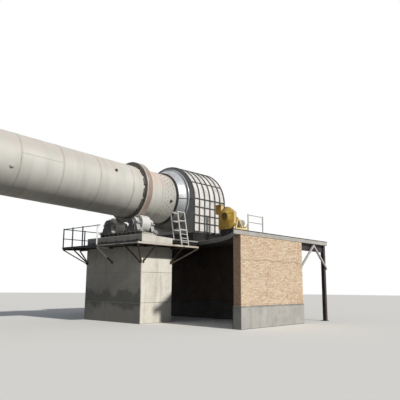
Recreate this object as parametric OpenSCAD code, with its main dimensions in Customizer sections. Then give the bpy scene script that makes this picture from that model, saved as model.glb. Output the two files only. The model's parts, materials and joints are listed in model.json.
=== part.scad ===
// Rotary kiln on two piers: shell with tyres and girth gear, support rollers and
// drive, discharge hood on its burner platform, and feed housing at the high end.
// Millimetres. The origin is on the ground under the discharge tyre's centre, with
// +X running down the kiln to the hood, -Y on the blower's side and +Z up.

/* [Kiln line] */
// Fall of the kiln toward the hood, in degrees
slope = 2.07; // [1.5:0.01:3]
// Height of the kiln's axis above the ground at the discharge tyre
axis_h = 6050; // [5900:10:6600]
// Distance between the two tyres along the kiln
tyre_span = 16500; // [14000:100:19000]

/* [Shell] */
// Outside diameter of the shell
shell_d = 2500; // [2300:10:2600]
// Thickness of the shell's plate
shell_t = 22; // [12:1:40]
// Length of shell past the discharge tyre
shell_front = 2900; // [2700:10:3300]
// Length of shell past the feed tyre
shell_rear = 5500; // [4500:50:6500]

/* [Tyres] */
// Outside diameter of a tyre
tyre_d = 2940; // [2840:10:3040]
// Width of a tyre
tyre_w = 360; // [280:10:420]
// Number of pads under each tyre
pad_count = 16; // [10:1:18]
// Thickness of a pad
pad_t = 30; // [20:1:40]
// Height of the stops at a pad's ends, beside the tyre
stop_h = 45; // [20:1:60]
// Length of a stop along the kiln
stop_w = 60; // [30:1:80]
// Gap between a tyre's side and the stops
stop_gap = 4; // [3:1:10]

/* [Support rollers] */
// Diameter of a support roller
roller_d = 800; // [700:10:860]
// Width of a support roller
roller_w = 500; // [400:10:520]
// Angle of each roller from straight below the kiln's axis
roller_angle = 30; // [28:0.5:32]
// Diameter of a roller's shaft
shaft_d = 200; // [160:5:240]
// Distance from a roller's middle to the middle of its bearing
bearing_reach = 430; // [400:5:500]
// Width of a bearing along the shaft
bearing_w = 220; // [160:5:240]
// Thickness of a bearing's housing round its bore
bearing_wall = 155; // [120:5:200]
// Height of a roller's shaft above the base frame
bearing_h = 400; // [340:5:440]
// Height of the steel base frame
base_frame_h = 230; // [200:10:320]
// Length of the base frame across the kiln
base_frame_len = 3100; // [2900:10:3400]
// Width of a flange on a base frame's beams
beam_w = 260; // [200:10:300]
// Thickness of the flanges and webs of those beams
beam_t = 28; // [16:1:40]

/* [Girth gear and drive] */
// Distance from the feed tyre down to the middle of the girth gear
gear_offset = 2400; // [2380:10:2800]
// Number of teeth on the girth gear
gear_teeth = 120; // [112:2:124]
// Number of teeth on the pinion
pinion_teeth = 20; // [18:1:24]
// Module of the teeth
tooth_module = 28; // [27:0.5:29]
// Width of the girth gear's face
gear_w = 300; // [200:10:360]
// Width of the pinion's face
pinion_w = 330; // [230:10:380]
// Depth of the girth gear's rim below its teeth
gear_rim = 90; // [70:5:100]
// Number of spring plates that carry the gear
spring_count = 12; // [8:1:14]
// Thickness of a spring plate
spring_t = 20; // [10:1:30]
// Angle of the pinion from straight below the kiln's axis, on the far side
pinion_angle = 40; // [36:1:44]
// Reach of the drive's pier from the pinion's shaft toward the kiln
drive_pier_near = 650; // [550:10:750]
// Reach of the drive's pier from the pinion's shaft away from the kiln
drive_pier_far = 750; // [650:10:850]
// Diameter of the pinion's shaft
pinion_shaft_d = 180; // [140:5:200]
// Height of the drive's shafts above its concrete block
drive_h = 360; // [340:5:440]

/* [Piers] */
// Length of a pier along the kiln
pier_l = 1873; // [1760:1:2100]
// Width of a pier across the kiln
pier_w = 4030; // [3700:10:4300]
// Thickness of a pier's cap
cap_t = 321; // [200:1:400]

/* [Walkways] */
// Height of the walkway's deck below the pier's top
walk_drop = 400; // [350:10:500]
// Width of the walkway across the pier's ends
walk_w = 785; // [600:5:900]
// Width of the walkway on the pier's uphill side
walk_uphill_w = 900; // [700:5:1000]
// Length by which the near walkway runs past the pier
walk_past = 930; // [600:10:1000]
// Thickness of the deck's plate
deck_t = 40; // [20:1:60]
// Depth of the deck's edge beams
deck_edge_h = 80; // [80:5:140]
// Drop of a bracket's strut below the deck
bracket_drop = 660; // [500:10:900]
// Height of a bracket's bars
bracket_bar = 58; // [40:1:80]
// Width of a bracket's bars
bracket_w = 50; // [40:1:80]
// Height of the handrail above the deck
rail_h = 920; // [850:10:1100]
// Diameter of the handrail's posts
post_d = 60; // [50:1:64]
// Diameter of the handrail's rails
rail_d = 40; // [30:1:40]

/* [Burner platform] */
// Height of the platform's floor above the ground
floor_z = 3750; // [3700:10:3850]
// Thickness of the platform's slab
slab_t = 190; // [150:10:240]
// X of the centre of the platform's curved edge
slab_edge_x = -5420; // [-5500:10:-5300]
// X of the platform's end past the hood
slab_x1 = 6900; // [6600:10:7200]
// Half of the platform's width
slab_half_w = 6700; // [6400:10:7000]
// Radius of the curved edge that faces the pier
slab_edge_r = 8340; // [8240:10:8400]
// X of the straight edge that faces the pier on the far side
far_edge_x = 2360; // [2330:10:2450]
// Half of the width of the tongue that joins the platform to the pier
tongue_half_w = 2000; // [1900:10:2010]
// Length of a side wall, from its open end to its far face
wall_len = 4520; // [4400:10:4700]
// Thickness of the brick walls
wall_t = 370; // [240:10:500]
// Height of the concrete plinth under the walls
plinth_h = 860; // [600:10:1000]
// Side of the square post under the slab's outer corners
post_side = 160; // [140:10:200]
// Depth of the beams under the slab's overhang
edge_beam_h = 320; // [240:10:400]
// Width by which the posts' feet stand out
post_foot = 80; // [50:5:120]
// Thickness of the posts' feet
post_foot_t = 25; // [16:1:40]
// Width of the struts under the slab's overhang
brace_bar = 70; // [50:5:90]
// Drop of those struts from the slab
brace_drop = 1150; // [900:10:1400]
// Width by which the plinth stands out from the walls' faces
plinth_out = 30; // [10:5:60]
// Y of the rail beside the blower
guard_y = -5000; // [-5200:10:-4800]
// X of that rail's uphill end
guard_x = 2740; // [2650:10:2850]
// Length of that rail
guard_l = 1200; // [1000:10:1400]
// Height of that rail above the platform
guard_h = 1080; // [950:10:1100]

/* [Discharge hood] */
// X of the hood's front face
hood_x = 2520; // [2480:10:2600]
// Distance between the hood's hoops
bay = 398; // [380:1:420]
// Number of bays between hoops
bay_count = 6; // [5:1:6]
// Half of the hood's width, and the radius of its vault
hood_r = 1859; // [1800:1:1900]
// Height of the vault's centre above the ground
hood_spring_z = 5843; // [5800:1:5950]
// Thickness of the hood's walls, brick lining included
hood_wall = 230; // [150:5:280]
// Thickness of the hood's end plates
hood_plate = 40; // [20:1:60]
// Height of the black frame under the hood
hood_base_h = 440; // [380:10:450]
// Wall thickness of that frame
hood_base_t = 180; // [120:5:220]
// Width of a hoop
hoop_w = 60; // [40:1:80]
// Depth of a hoop
hoop_t = 45; // [30:1:60]
// Depth of the bands that run along the hood
band_t = 30; // [15:1:32]
// Height of a band that runs along the hood
band_h = 50; // [30:1:70]
// Height of the channel at the casing's foot
sill_h = 100; // [60:5:140]
// Inside radius of the flared sleeve at its small end
sleeve_r0 = 1300; // [1290:5:1340]
// Inside radius of the flared sleeve at its large end
sleeve_r1 = 1580; // [1540:5:1600]
// X of the sleeve's small end
sleeve_x0 = 1990; // [1900:10:2050]
// X of the ring at the sleeve's large end
sleeve_x1 = 2450; // [2400:5:2460]
// Thickness of the sleeve's plate
sleeve_t = 10; // [6:1:16]
// Radius of the rolled ring at the sleeve's large end
sleeve_ring_r = 32; // [20:1:40]
// Width of the black seal ring along the kiln
seal_w = 90; // [60:5:120]
// Height of the black seal ring above the shell
seal_out = 95; // [90:5:120]
// Running gap between the turning shell and a seal ring
seal_gap = 8; // [6:1:12]
// Radius of the burner opening in the hood's back wall
burner_r = 260; // [200:10:320]

/* [Access stand] */
// X of the stand's uphill legs
stand_x = 1080; // [1040:10:1150]
// Length of the stand along the kiln
stand_l = 450; // [380:10:480]
// Width of the stand across the kiln
stand_w = 450; // [400:10:500]
// Height of the stand above the platform
stand_h = 1300; // [1200:10:1400]
// Distance that the stand leans toward the kiln
stand_lean_y = 250; // [200:5:280]

/* [Discharge hole] */
// Length of the hole in the platform under the hood
drop_hole_l = 1000; // [800:10:1100]
// Width of the hole in the platform under the hood
drop_hole_w = 1600; // [1200:10:2000]
// Height of the steel collar that hangs under the hole
collar_h = 350; // [250:10:450]
// Thickness of the collar's plates
collar_t = 16; // [10:1:25]
// Width of the collar's flanges
collar_flange = 90; // [70:5:120]

/* [Blower] */
// X of the blower casing's open face
fan_x = 3400; // [3300:10:3500]
// Y of the blower's shaft
fan_y = -3110; // [-3300:10:-3050]
// Height of the blower's shaft above the floor
fan_h = 1200; // [1150:10:1250]
// Width of the blower's casing along its shaft
fan_w = 180; // [140:5:260]
// Reach of the casing from its shaft on the near side
fan_near = 565; // [520:5:600]
// Reach of the casing from its shaft on the far side
fan_far = 360; // [330:5:400]
// Reach of the casing above its shaft
fan_up = 450; // [420:5:480]
// Reach of the casing below its shaft
fan_down = 590; // [560:5:640]
// Length of the casing's sloping top corners across the shaft
fan_cut_y = 400; // [340:5:430]
// Height of the casing's sloping top corners
fan_cut_z = 290; // [240:5:320]
// Size of the casing's lower near corner
fan_cut_low = 230; // [180:5:260]
// Width of the rims round the casing's side plates
fan_rim = 28; // [15:1:40]
// Radius of the blower's inlet
fan_inlet_r = 200; // [160:5:220]
// Height of the blower's outlet box above its shaft
fan_outlet_h = 610; // [580:5:660]
// Width of the blower's outlet box
fan_outlet_w = 330; // [280:5:360]
// Reach of the outlet box past the casing's far side
fan_outlet_past = 210; // [180:5:240]
// Length of the frame behind the blower's casing
fan_frame_l = 1390; // [1200:10:1500]
// Width of that frame's bars
seat_bar = 70; // [50:5:90]
// Length of the blower's motor
motor_l_fan = 420; // [360:10:480]
// Radius of the blower's motor
motor_r_fan = 170; // [140:5:180]

/* [Feed housing] */
// Length of the housing past the shell's end
feed_past = 1600; // [1300:10:1900]
// Length of shell inside the housing
feed_over = 600; // [400:10:800]
// Half of the housing's width and height
feed_half = 1750; // [1650:10:1850]
// Thickness of the housing's walls
feed_wall = 60; // [30:1:100]
// Depth of the dust hopper under the housing
hopper_h = 1100; // [900:10:1300]
// Side of the dust hopper's square outlet
hopper_outlet = 450; // [300:10:600]
// Radius of the gas outlet on the housing
flue_r = 600; // [450:10:640]
// Height of the gas outlet's stub
flue_h = 700; // [500:10:900]
// Radius of the feed chute
chute_r = 180; // [140:5:220]
// Height of the feed chute
chute_h = 900; // [700:10:1100]
// Thickness of the chute's flanges
chute_flange_t = 30; // [16:1:40]
// Width of the chute's flanges
chute_flange_w = 80; // [60:5:100]
// Side of a column under the housing
column_w = 260; // [200:10:320]

/* [Clearances] */
// Gap between curved faces that touch in the real kiln
touch_gap = 0.3; // [0.2:0.05:0.5]
// Gap between a shaft and the bore that it turns in
bore_gap = 0.3; // [0.2:0.05:0.5]
// Backlash between the girth gear and its pinion
backlash = 4; // [3:0.5:6]

/* [Hidden] */

// Facets of large and small circles
round_fn = 240;
small_fn = 72;
// A size larger than the whole kiln, for cutting tools
reach = 40000;

// Radii and places along the kiln's axis
shell_r = shell_d / 2;
tyre_r = tyre_d / 2;
tyre_bore_r = shell_r + pad_t + 2 * touch_gap;
roller_r = roller_d / 2;
shaft_r = shaft_d / 2;
shell_s0 = -tyre_span - shell_rear;
shell_s1 = shell_front;
tyre_places = [0, -tyre_span];

// Support rollers: their centres across and below the axis
roller_distance = tyre_r + roller_r + touch_gap;
roller_y = roller_distance * sin(roller_angle);
roller_drop = roller_distance * cos(roller_angle);
frame_top_drop = roller_drop + bearing_h;
cap_drop = frame_top_drop + base_frame_h;

// Girth gear and pinion
pressure_angle = 20;
gear_s = -tyre_span + gear_offset;
gear_r = gear_teeth * tooth_module / 2;
pinion_r = pinion_teeth * tooth_module / 2;
gear_root_r = gear_r - 1.25 * tooth_module;
gear_bore_r = gear_root_r - gear_rim;
pinion_distance = gear_r + pinion_r + 1;
pinion_y = pinion_distance * sin(pinion_angle);
pinion_drop = pinion_distance * cos(pinion_angle);
pinion_shaft_r = pinion_shaft_d / 2;
drive_drop = pinion_drop + drive_h;
pinion_bearing_w = 180;
pinion_bearing_reach = pinion_w / 2 + 60 + pinion_bearing_w / 2;
coupling_s = pinion_bearing_reach + pinion_bearing_w / 2 + 60;
coupling_w = 180;
gearbox_s = coupling_s + coupling_w + 8;
gearbox_l = 700;
motor_s = gearbox_s + gearbox_l + 250;
motor_l = 900;

// Height of a bearing's feet
housing_foot_h = 60;

// Walkways and handrails: heights of the rails, and where the posts stand
rail_levels = [0.5, 1];
deck_seat = 20;
bracket_inset = 110;
uphill_posts = [50, 1180, 2000];

// Hood
hood_x1 = hood_x + bay * bay_count;
hood_base_z = floor_z;
hood_z = hood_base_z + hood_base_h;
band_heights = [4665, 5055, 5470, 5888];
front_hole_r = sleeve_r1 - 60;
crown_band_angle = 60;

// Feed housing
feed_x0 = shell_s0 * cos(slope) - feed_past;
feed_x1 = shell_s0 * cos(slope) + feed_over;
feed_mid_x = (feed_x0 + feed_x1) / 2;
flue_x = feed_x0 + flue_r + 120;
chute_x = feed_x1 - chute_r - 250;
column_inset = 40;
feed_z0 = axis_z(feed_mid_x) - feed_half;
feed_z1 = axis_z(feed_mid_x) + feed_half;

// Height of the kiln's axis at a place X
function axis_z(x) = axis_h - x * tan(slope);

// Height of a plane that lies drop below the axis, at a place X
function plane_z(x, drop) = axis_z(x) - drop / cos(slope);

// X of a place s along the kiln's axis
function along(s) = s * cos(slope);

// Involute of an angle, in degrees
function involute(a) = tan(a) * 180 / PI - a;

// Half of a tooth's angle at the radius r
function tooth_half_angle(r, teeth) =
    let (
        pitch_r = teeth * tooth_module / 2,
        base_r = pitch_r * cos(pressure_angle),
        a = r > base_r ? acos(base_r / r) : 0
    )
    90 / teeth + involute(pressure_angle) - involute(a) - backlash / 4 / pitch_r * 180 / PI;

// Outline of a gear with a tooth on the first axis
function gear_outline(teeth) =
    let (
        pitch_r = teeth * tooth_module / 2,
        root_r = pitch_r - 1.25 * tooth_module,
        flank = [root_r, pitch_r - 0.6 * tooth_module, pitch_r, pitch_r + 0.55 * tooth_module,
            pitch_r + tooth_module]
    )
    [
        for (i = [0 : teeth - 1])
            for (k = [0 : 2 * len(flank) - 1])
                let (
                    rising = k < len(flank),
                    r = rising ? flank[k] : flank[2 * len(flank) - 1 - k],
                    a = 360 * i / teeth + (rising ? -1 : 1) * tooth_half_angle(r, teeth)
                )
                r * [cos(a), sin(a)]
    ];

// Places its children in the frame of the sloping kiln, at s along its axis
module on_kiln(s = 0) {
    translate([0, 0, axis_h]) rotate([0, slope, 0]) translate([s, 0, 0]) children();
}

// Runs a shape drawn across (Y) and up (Z) from x0 to x1
module run(x0, x1) {
    translate([x0, 0, 0]) rotate([90, 0, 90]) linear_extrude(x1 - x0) children();
}

// Runs a shape drawn along (X) and up (Z) from y0 to y1
module run_across(y0, y1) {
    translate([0, y1, 0]) rotate([90, 0, 0]) linear_extrude(y1 - y0) children();
}

// Turns a profile drawn as radius and X about the X axis
module turn_about_x(fn = round_fn) {
    rotate([0, 90, 0]) rotate_extrude($fn = fn) children();
}

// A box from one corner to the opposite one
module box(low, high) {
    translate(low) cube(high - low);
}

// A pipe along X
module pipe(r_out, r_in, x0, x1, fn = round_fn) {
    run(x0, x1) difference() {
        circle(r_out, $fn = fn);
        circle(r_in, $fn = fn);
    }
}

// A rod along X
module rod(r, x0, x1, fn = small_fn) {
    run(x0, x1) circle(r, $fn = fn);
}

// A block on a level foot whose top is a plane that lies drop below the kiln's axis
module sloped_block(low, high, drop) {
    difference() {
        box([low.x, low.y, low.z], [high.x, high.y, axis_z(low.x)]);
        on_kiln() box([-reach, -reach, -drop], [reach, reach, reach]);
    }
}

// Cross-section of an I-beam, standing on the first axis
module beam_section(w, h, t) {
    translate([-w / 2, 0]) square([w, t]);
    translate([-w / 2, h - t]) square([w, t]);
    translate([-t / 2, t / 2]) square([t, h - t]);
}

// Outline of a split bearing housing around its bore, with its foot at -h
module bearing_outline(bore_r, h, wall) {
    body_r = bore_r + wall;
    difference() {
        union() {
            circle(body_r, $fn = small_fn);
            polygon([
                [-1.5 * body_r, -h], [1.5 * body_r, -h], [1.5 * body_r, -h + housing_foot_h],
                [0.92 * body_r, 0], [-0.92 * body_r, 0], [-1.5 * body_r, -h + housing_foot_h]
            ]);
            translate([-1.3 * body_r, -25]) square([2.6 * body_r, 50]);
        }
        circle(bore_r + bore_gap, $fn = small_fn);
    }
}

// Piers

module pier(x) {
    box([x - pier_l / 2, -pier_w / 2, 0],
        [x + pier_l / 2, pier_w / 2, plane_z(x, cap_drop) - cap_t]);
}

module pier_cap(x) {
    sloped_block([x - pier_l / 2, -pier_w / 2, plane_z(x, cap_drop) - cap_t],
        [x + pier_l / 2, pier_w / 2, 0], cap_drop);
}

module pier_discharge() {
    color("antiquewhite") pier(along(tyre_places[0]));
}

module pier_feed() {
    color("antiquewhite") pier(along(tyre_places[1]));
}

module pier_caps() {
    color("wheat") for (s = tyre_places) pier_cap(along(s));
}

module drive_pier() {
    x0 = along(gear_s - pinion_bearing_reach - pinion_bearing_w);
    x1 = along(gear_s + motor_s + motor_l) + 100;
    color("tan") sloped_block([x0, pinion_y - drive_pier_near, 0], [x1, pinion_y + drive_pier_far, 0],
        drive_drop);
}

// Support rollers, their bearings and base frames

module base_frame() {
    for (side = [-1, 1]) translate([side * bearing_reach, 0, 0])
        run_across(-base_frame_len / 2, base_frame_len / 2)
            beam_section(beam_w, base_frame_h, beam_t);
    for (y = [-base_frame_len / 2 + 120, base_frame_len / 2 - 120])
        box([-bearing_reach, y - 60, 0], [bearing_reach, y + 60, 0.8 * base_frame_h]);
    box([-bearing_reach, -100, 0], [bearing_reach, 100, 0.6 * base_frame_h]);
}

module roller_frames() {
    color("dimgray") for (s = tyre_places) on_kiln(s) translate([0, 0, -cap_drop]) base_frame();
}

module roller_bearings() {
    color("slategray") for (s = tyre_places, side = [-1, 1], end = [-1, 1])
        on_kiln(s + end * bearing_reach) translate([0, side * roller_y, -roller_drop])
            run(-bearing_w / 2, bearing_w / 2)
                bearing_outline(shaft_r, bearing_h, bearing_wall);
}

module support_roller(s, side) {
    half_w = roller_w / 2;
    hub_r = 0.42 * roller_r;
    hub_half = half_w + 50;
    rim_r = 0.8 * roller_r;
    dish = 60;
    edge = 14;
    end = bearing_reach + bearing_w / 2 + 40;
    half_profile = [
        [shaft_r, end], [shaft_r, hub_half], [hub_r, hub_half], [hub_r, half_w - dish],
        [rim_r, half_w - dish], [rim_r, half_w], [roller_r - edge, half_w],
        [roller_r, half_w - edge]
    ];
    color("lightgray") on_kiln(s) translate([0, side * roller_y, -roller_drop])
        turn_about_x() polygon(concat(
            [[0, -end], [0, end]],
            half_profile,
            [for (i = [len(half_profile) - 1 : -1 : 0]) [half_profile[i].x, -half_profile[i].y]]
        ));
}

module roller_discharge_near() { support_roller(tyre_places[0], -1); }

module roller_discharge_far() { support_roller(tyre_places[0], 1); }

module roller_feed_near() { support_roller(tyre_places[1], -1); }

module roller_feed_far() { support_roller(tyre_places[1], 1); }

// Shell, tyres and pads

module kiln_shell() {
    color("linen") on_kiln() pipe(shell_r, shell_r - shell_t, shell_s0, shell_s1);
}

module tyre(s) {
    edge = 12;
    half_w = tyre_w / 2;
    color("rosybrown") on_kiln(s) turn_about_x() polygon([
        [tyre_bore_r, -half_w], [tyre_r - edge, -half_w], [tyre_r, -half_w + edge],
        [tyre_r, half_w - edge], [tyre_r - edge, half_w], [tyre_bore_r, half_w]
    ]);
}

module tyre_discharge() { tyre(tyre_places[0]); }

module tyre_feed() { tyre(tyre_places[1]); }

module tyre_pads() {
    pad_angle = 0.66 * 360 / pad_count;
    low = shell_r + touch_gap;
    high = low + pad_t;
    inner = tyre_w / 2 + stop_gap;
    outer = inner + stop_w;
    color("saddlebrown") for (s = tyre_places, i = [0 : pad_count - 1])
        on_kiln(s) rotate([360 * i / pad_count, 0, 0]) rotate([0, 90, 0])
            rotate_extrude(angle = pad_angle, $fn = round_fn) polygon([
                [low, -outer], [high + stop_h, -outer], [high + stop_h, -inner], [high, -inner],
                [high, inner], [high + stop_h, inner], [high + stop_h, outer], [low, outer]
            ]);
}

// Girth gear, its spring plates, and the drive

module girth_gear() {
    color("dimgray") on_kiln(gear_s) run(-gear_w / 2, gear_w / 2) difference() {
        rotate(pinion_angle - 90) polygon(gear_outline(gear_teeth));
        circle(gear_bore_r, $fn = round_fn);
    }
}

module gear_springs() {
    plate_w = 0.7 * gear_w;
    color("gray") on_kiln(gear_s) run(-plate_w / 2, plate_w / 2)
        for (i = [0 : spring_count - 1]) rotate(360 * i / spring_count) intersection() {
            translate([shell_r + touch_gap, -120]) square([spring_t, gear_bore_r]);
            circle(gear_bore_r - touch_gap, $fn = round_fn);
        }
}

module pinion() {
    end = pinion_bearing_reach + pinion_bearing_w / 2 + 40;
    color("silver") on_kiln(gear_s) translate([0, pinion_y, -pinion_drop]) {
        run(-pinion_w / 2, pinion_w / 2)
            rotate(pinion_angle + 90 + 180 / pinion_teeth) polygon(gear_outline(pinion_teeth));
        rod(pinion_shaft_r, -end, coupling_s + coupling_w);
        rod(1.9 * pinion_shaft_r, coupling_s, coupling_s + coupling_w);
    }
}

module pinion_bearings() {
    color("slategray") for (end = [-1, 1])
        on_kiln(gear_s + end * pinion_bearing_reach) translate([0, pinion_y, -pinion_drop])
            run(-pinion_bearing_w / 2, pinion_bearing_w / 2)
                bearing_outline(pinion_shaft_r, drive_h, 95);
}

module gearbox() {
    half = 430;
    color("steelblue") on_kiln(gear_s + gearbox_s) translate([0, pinion_y, -drive_drop]) {
        box([0, -half - 60, 0], [gearbox_l, half + 60, 50]);
        box([40, -half, 0], [gearbox_l - 40, half, drive_h + 60]);
        translate([0, 0, drive_h]) rod(150, 0, gearbox_l);
        run(60, gearbox_l - 60) polygon([
            [-half, drive_h], [half, drive_h], [half - 160, drive_h + 330], [-half + 160, drive_h + 330]
        ]);
    }
}

module drive_motor() {
    r = 270;
    color("royalblue") on_kiln(gear_s + motor_s) translate([0, pinion_y, -drive_drop]) {
        translate([0, 0, drive_h]) rod(r, 0, motor_l);
        translate([0, 0, drive_h]) rod(50, -250, motor_l);
        box([90, -r, 0], [motor_l - 90, r, drive_h - r / 2]);
        box([250, -r - 120, drive_h - 130], [motor_l - 250, 0, drive_h + 130]);
    }
}

// Walkways round the piers

module walkway_deck(x) {
    top = plane_z(x, cap_drop) - walk_drop;
    x0 = x - pier_l / 2;
    x1 = x + pier_l / 2 + walk_past;
    y = pier_w / 2;
    difference() {
        box([x0 - walk_uphill_w, -y - walk_w, top - deck_edge_h], [x1, y + walk_w, top]);
        box([x0, -y, top - 2 * deck_edge_h], [x1 + reach, y, top + deck_t]);
        for (side = [-1, 1]) {
            y_mid = side * (y + walk_w / 2);
            box([x0 - walk_uphill_w + 60, y_mid - walk_w / 2 + 60, top - 2 * deck_edge_h],
                [x1 - 60, y_mid + walk_w / 2 - 60, top - deck_t]);
        }
        box([x0 - walk_uphill_w + 60, -y, top - 2 * deck_edge_h],
            [x0 - 60, y, top - deck_t]);
    }
}

module walkway_decks() {
    color("dimgray") for (s = tyre_places) walkway_deck(along(s));
}

// A bracket in the XZ plane, with its wall side at X = 0 and its top at Z = 0. It starts
// inside the wall, which cuts it off.
module bracket(length, foot_w) {
    bar = bracket_bar;
    root = 35;
    run_across(-bracket_w / 2, bracket_w / 2) {
        polygon([[-root, 0], [length, 0], [length, -bar], [-root, -bar]]);
        polygon([
            [length, 0], [length, -bar], [0, -bracket_drop - bar], [-root, -bracket_drop - bar],
            [-root, -bracket_drop], [0, -bracket_drop]
        ]);
    }
    run_across(-foot_w / 2, foot_w / 2)
        translate([-root, -bracket_drop - 1.5 * bar]) square([root + 20, 2 * bar]);
}

module pier_brackets(x) {
    top = plane_z(x, cap_drop) - walk_drop - deck_edge_h;
    x_end = pier_l / 2;
    y_end = pier_w / 2;
    foot_w = 2 * bracket_w;
    difference() {
        union() {
            for (y = [-y_end + bracket_inset, 0, y_end - bracket_inset])
                translate([x - x_end, y, top]) rotate(180)
                    bracket(walk_uphill_w - deck_seat, foot_w);
            for (side = [-1, 1], x_place = [-x_end + bracket_inset, x_end - bracket_inset])
                translate([x + x_place, side * y_end, top]) rotate(side * 90)
                    bracket(walk_w - deck_seat, foot_w);
            for (side = [-1, 1])
                translate([x + x_end, side * (y_end - bracket_inset), top])
                    bracket(walk_past - deck_seat, foot_w);
            for (side = [-1, 1], end = [-1, 1]) {
                out = [end * (end < 0 ? walk_uphill_w : walk_past), side * walk_w];
                translate([x + end * x_end, side * y_end, top])
                    rotate(atan2(out.y, out.x)) bracket(norm(out) - 2 * deck_seat, bracket_w);
            }
        }
        box([x - x_end, -y_end, 0], [x + x_end, y_end, reach]);
    }
}

module walkway_brackets() {
    color("saddlebrown") for (s = tyre_places) pier_brackets(along(s));
}

// Posts of a handrail at places along X, with their feet at Z = 0
module rail_posts(places, h = rail_h) {
    for (x = places) translate([x, 0, 0]) cylinder(h = h, r = post_d / 2, $fn = 24);
}

// Handrails on a walkway's uphill and far sides, with one post at their corner
module walkway_handrails() {
    inset = post_d / 2 + 4;
    color("darkslategray") for (s = tyre_places) {
        x = along(s);
        x0 = x - pier_l / 2 - walk_uphill_w + inset;
        x1 = x + pier_l / 2 + walk_past - inset;
        y1 = pier_w / 2 + walk_w - inset;
        translate([x0, 0, plane_z(x, cap_drop) - walk_drop]) {
            rotate(90) {
                rail_posts(uphill_posts);
                translate([0, 0, rail_h - rail_d]) rod(rail_d / 2, -150, y1 - rail_d / 2 - 1, 24);
            }
            translate([0, y1, 0]) {
                rail_posts([for (i = [0 : 3]) i * (x1 - x0) / 3]);
                for (level = rail_levels)
                    translate([0, 0, level * rail_h - rail_d]) rod(rail_d / 2, 0, x1 - x0, 24);
            }
        }
    }
}

// Burner platform

module slab_outline() {
    difference() {
        translate([slab_edge_x, -slab_half_w]) square([slab_x1 - slab_edge_x, 2 * slab_half_w]);
        translate([slab_edge_x, 0]) circle(slab_edge_r, $fn = 3 * round_fn);
        translate([slab_edge_x, tongue_half_w]) square([far_edge_x - slab_edge_x, slab_half_w]);
    }
    translate([pier_l / 2, -tongue_half_w])
        square([slab_edge_x + slab_edge_r - pier_l / 2, 2 * tongue_half_w]);
}

// X of the hole under the hood
hole_x = hood_x + hood_base_t + 60;

module platform_slab() {
    color("silver") difference() {
        translate([0, 0, floor_z - slab_t]) linear_extrude(slab_t) slab_outline();
        box([hole_x, -drop_hole_w / 2, floor_z - 2 * slab_t],
            [hole_x + drop_hole_l, drop_hole_w / 2, floor_z + slab_t]);
    }
}

wall_z1 = floor_z - slab_t;
wall_y = slab_half_w - 20;

module brick_walls() {
    y = wall_y - wall_t;
    color("burlywood") difference() {
        box([0, -wall_y, plinth_h], [wall_len, wall_y, wall_z1]);
        box([-wall_t, -y, plinth_h - wall_t], [wall_len - wall_t, y, wall_z1 + wall_t]);
        box([-wall_t, 0, plinth_h - wall_t], [far_edge_x, 2 * wall_y, wall_z1 + wall_t]);
    }
}

module wall_plinth() {
    color("darkkhaki") difference() {
        box([-plinth_out, -wall_y - plinth_out, 0],
            [wall_len + plinth_out, wall_y + plinth_out, plinth_h]);
        box([-2 * plinth_out, -wall_y + wall_t + plinth_out, -plinth_h],
            [wall_len - wall_t - plinth_out, wall_y - wall_t - plinth_out, 2 * plinth_h]);
        box([-2 * plinth_out, 0, -plinth_h], [far_edge_x - plinth_out, 2 * wall_y, 2 * plinth_h]);
    }
}

// A block round the discharge hole, larger by a margin
module hole_block(grow, z0, z1) {
    box([hole_x - grow, -drop_hole_w / 2 - grow, z0],
        [hole_x + drop_hole_l + grow, drop_hole_w / 2 + grow, z1]);
}

module discharge_collar() {
    collar_z = wall_z1 - collar_h;
    color("dimgray") difference() {
        union() {
            hole_block(collar_t, collar_z, wall_z1);
            hole_block(collar_flange, collar_z, collar_z + collar_t);
            hole_block(collar_flange, wall_z1 - collar_t, wall_z1);
        }
        hole_block(0, collar_z - collar_h, wall_z1 + collar_h);
    }
}

// Posts, beams and struts under the part of the slab past the walls

column_x = slab_x1 - post_side - 20;
post_y = wall_y - brace_bar - 20;

module platform_posts() {
    color("maroon") for (side = [0, 1]) mirror([0, side, 0]) {
        box([column_x, -post_y, post_foot_t], [column_x + post_side, -post_y + post_side, wall_z1]);
        box([column_x - post_foot, -post_y - post_foot / 2, 0],
            [column_x + post_side + post_foot / 2, -post_y + post_side + post_foot, post_foot_t]);
        translate([0, -post_y + post_side / 2, wall_z1 - edge_beam_h])
            run(wall_len, column_x + post_side / 2) beam_section(post_side, edge_beam_h, 16);
    }
}

module platform_braces() {
    apex_x = (wall_len + column_x + post_side) / 2;
    knee_z = wall_z1 - brace_drop;
    foot = 1.6 * brace_bar;
    color("lightgray") for (side = [0, 1]) mirror([0, side, 0])
        run_across(-post_y - brace_bar, -post_y) for (end_x = [wall_len, column_x + post_side])
            polygon([
                [end_x, knee_z], [end_x, knee_z + foot], [apex_x, wall_z1], [apex_x, wall_z1 - foot]
            ]);
}

// Rail on the platform beside the blower
module platform_rail() {
    color("silver") translate([guard_x, guard_y, floor_z]) {
        rail_posts([post_d / 2, guard_l - post_d / 2], guard_h);
        for (level = [0.7, 1])
            translate([0, 0, level * guard_h - rail_d])
                rod(rail_d / 2, post_d / 2, guard_l - post_d / 2, 24);
        for (x = [post_d / 2, guard_l - post_d / 2])
            box([x - post_d, -post_d, 0], [x + post_d, post_d, 12]);
    }
}

// Discharge hood

module vault_outline(r, z0) {
    translate([-r, z0]) square([2 * r, hood_spring_z - z0]);
    intersection() {
        translate([0, hood_spring_z]) circle(r, $fn = round_fn);
        translate([-r, z0]) square([2 * r, hood_spring_z + 2 * r]);
    }
}

module hood_base_frame() {
    color("black") difference() {
        box([hood_x, -hood_r, hood_base_z], [hood_x1, hood_r, hood_z]);
        box([hood_x + hood_base_t, -hood_r + hood_wall, hood_base_z - 100],
            [hood_x1 - hood_base_t, hood_r - hood_wall, hood_z + 100]);
    }
}

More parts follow.
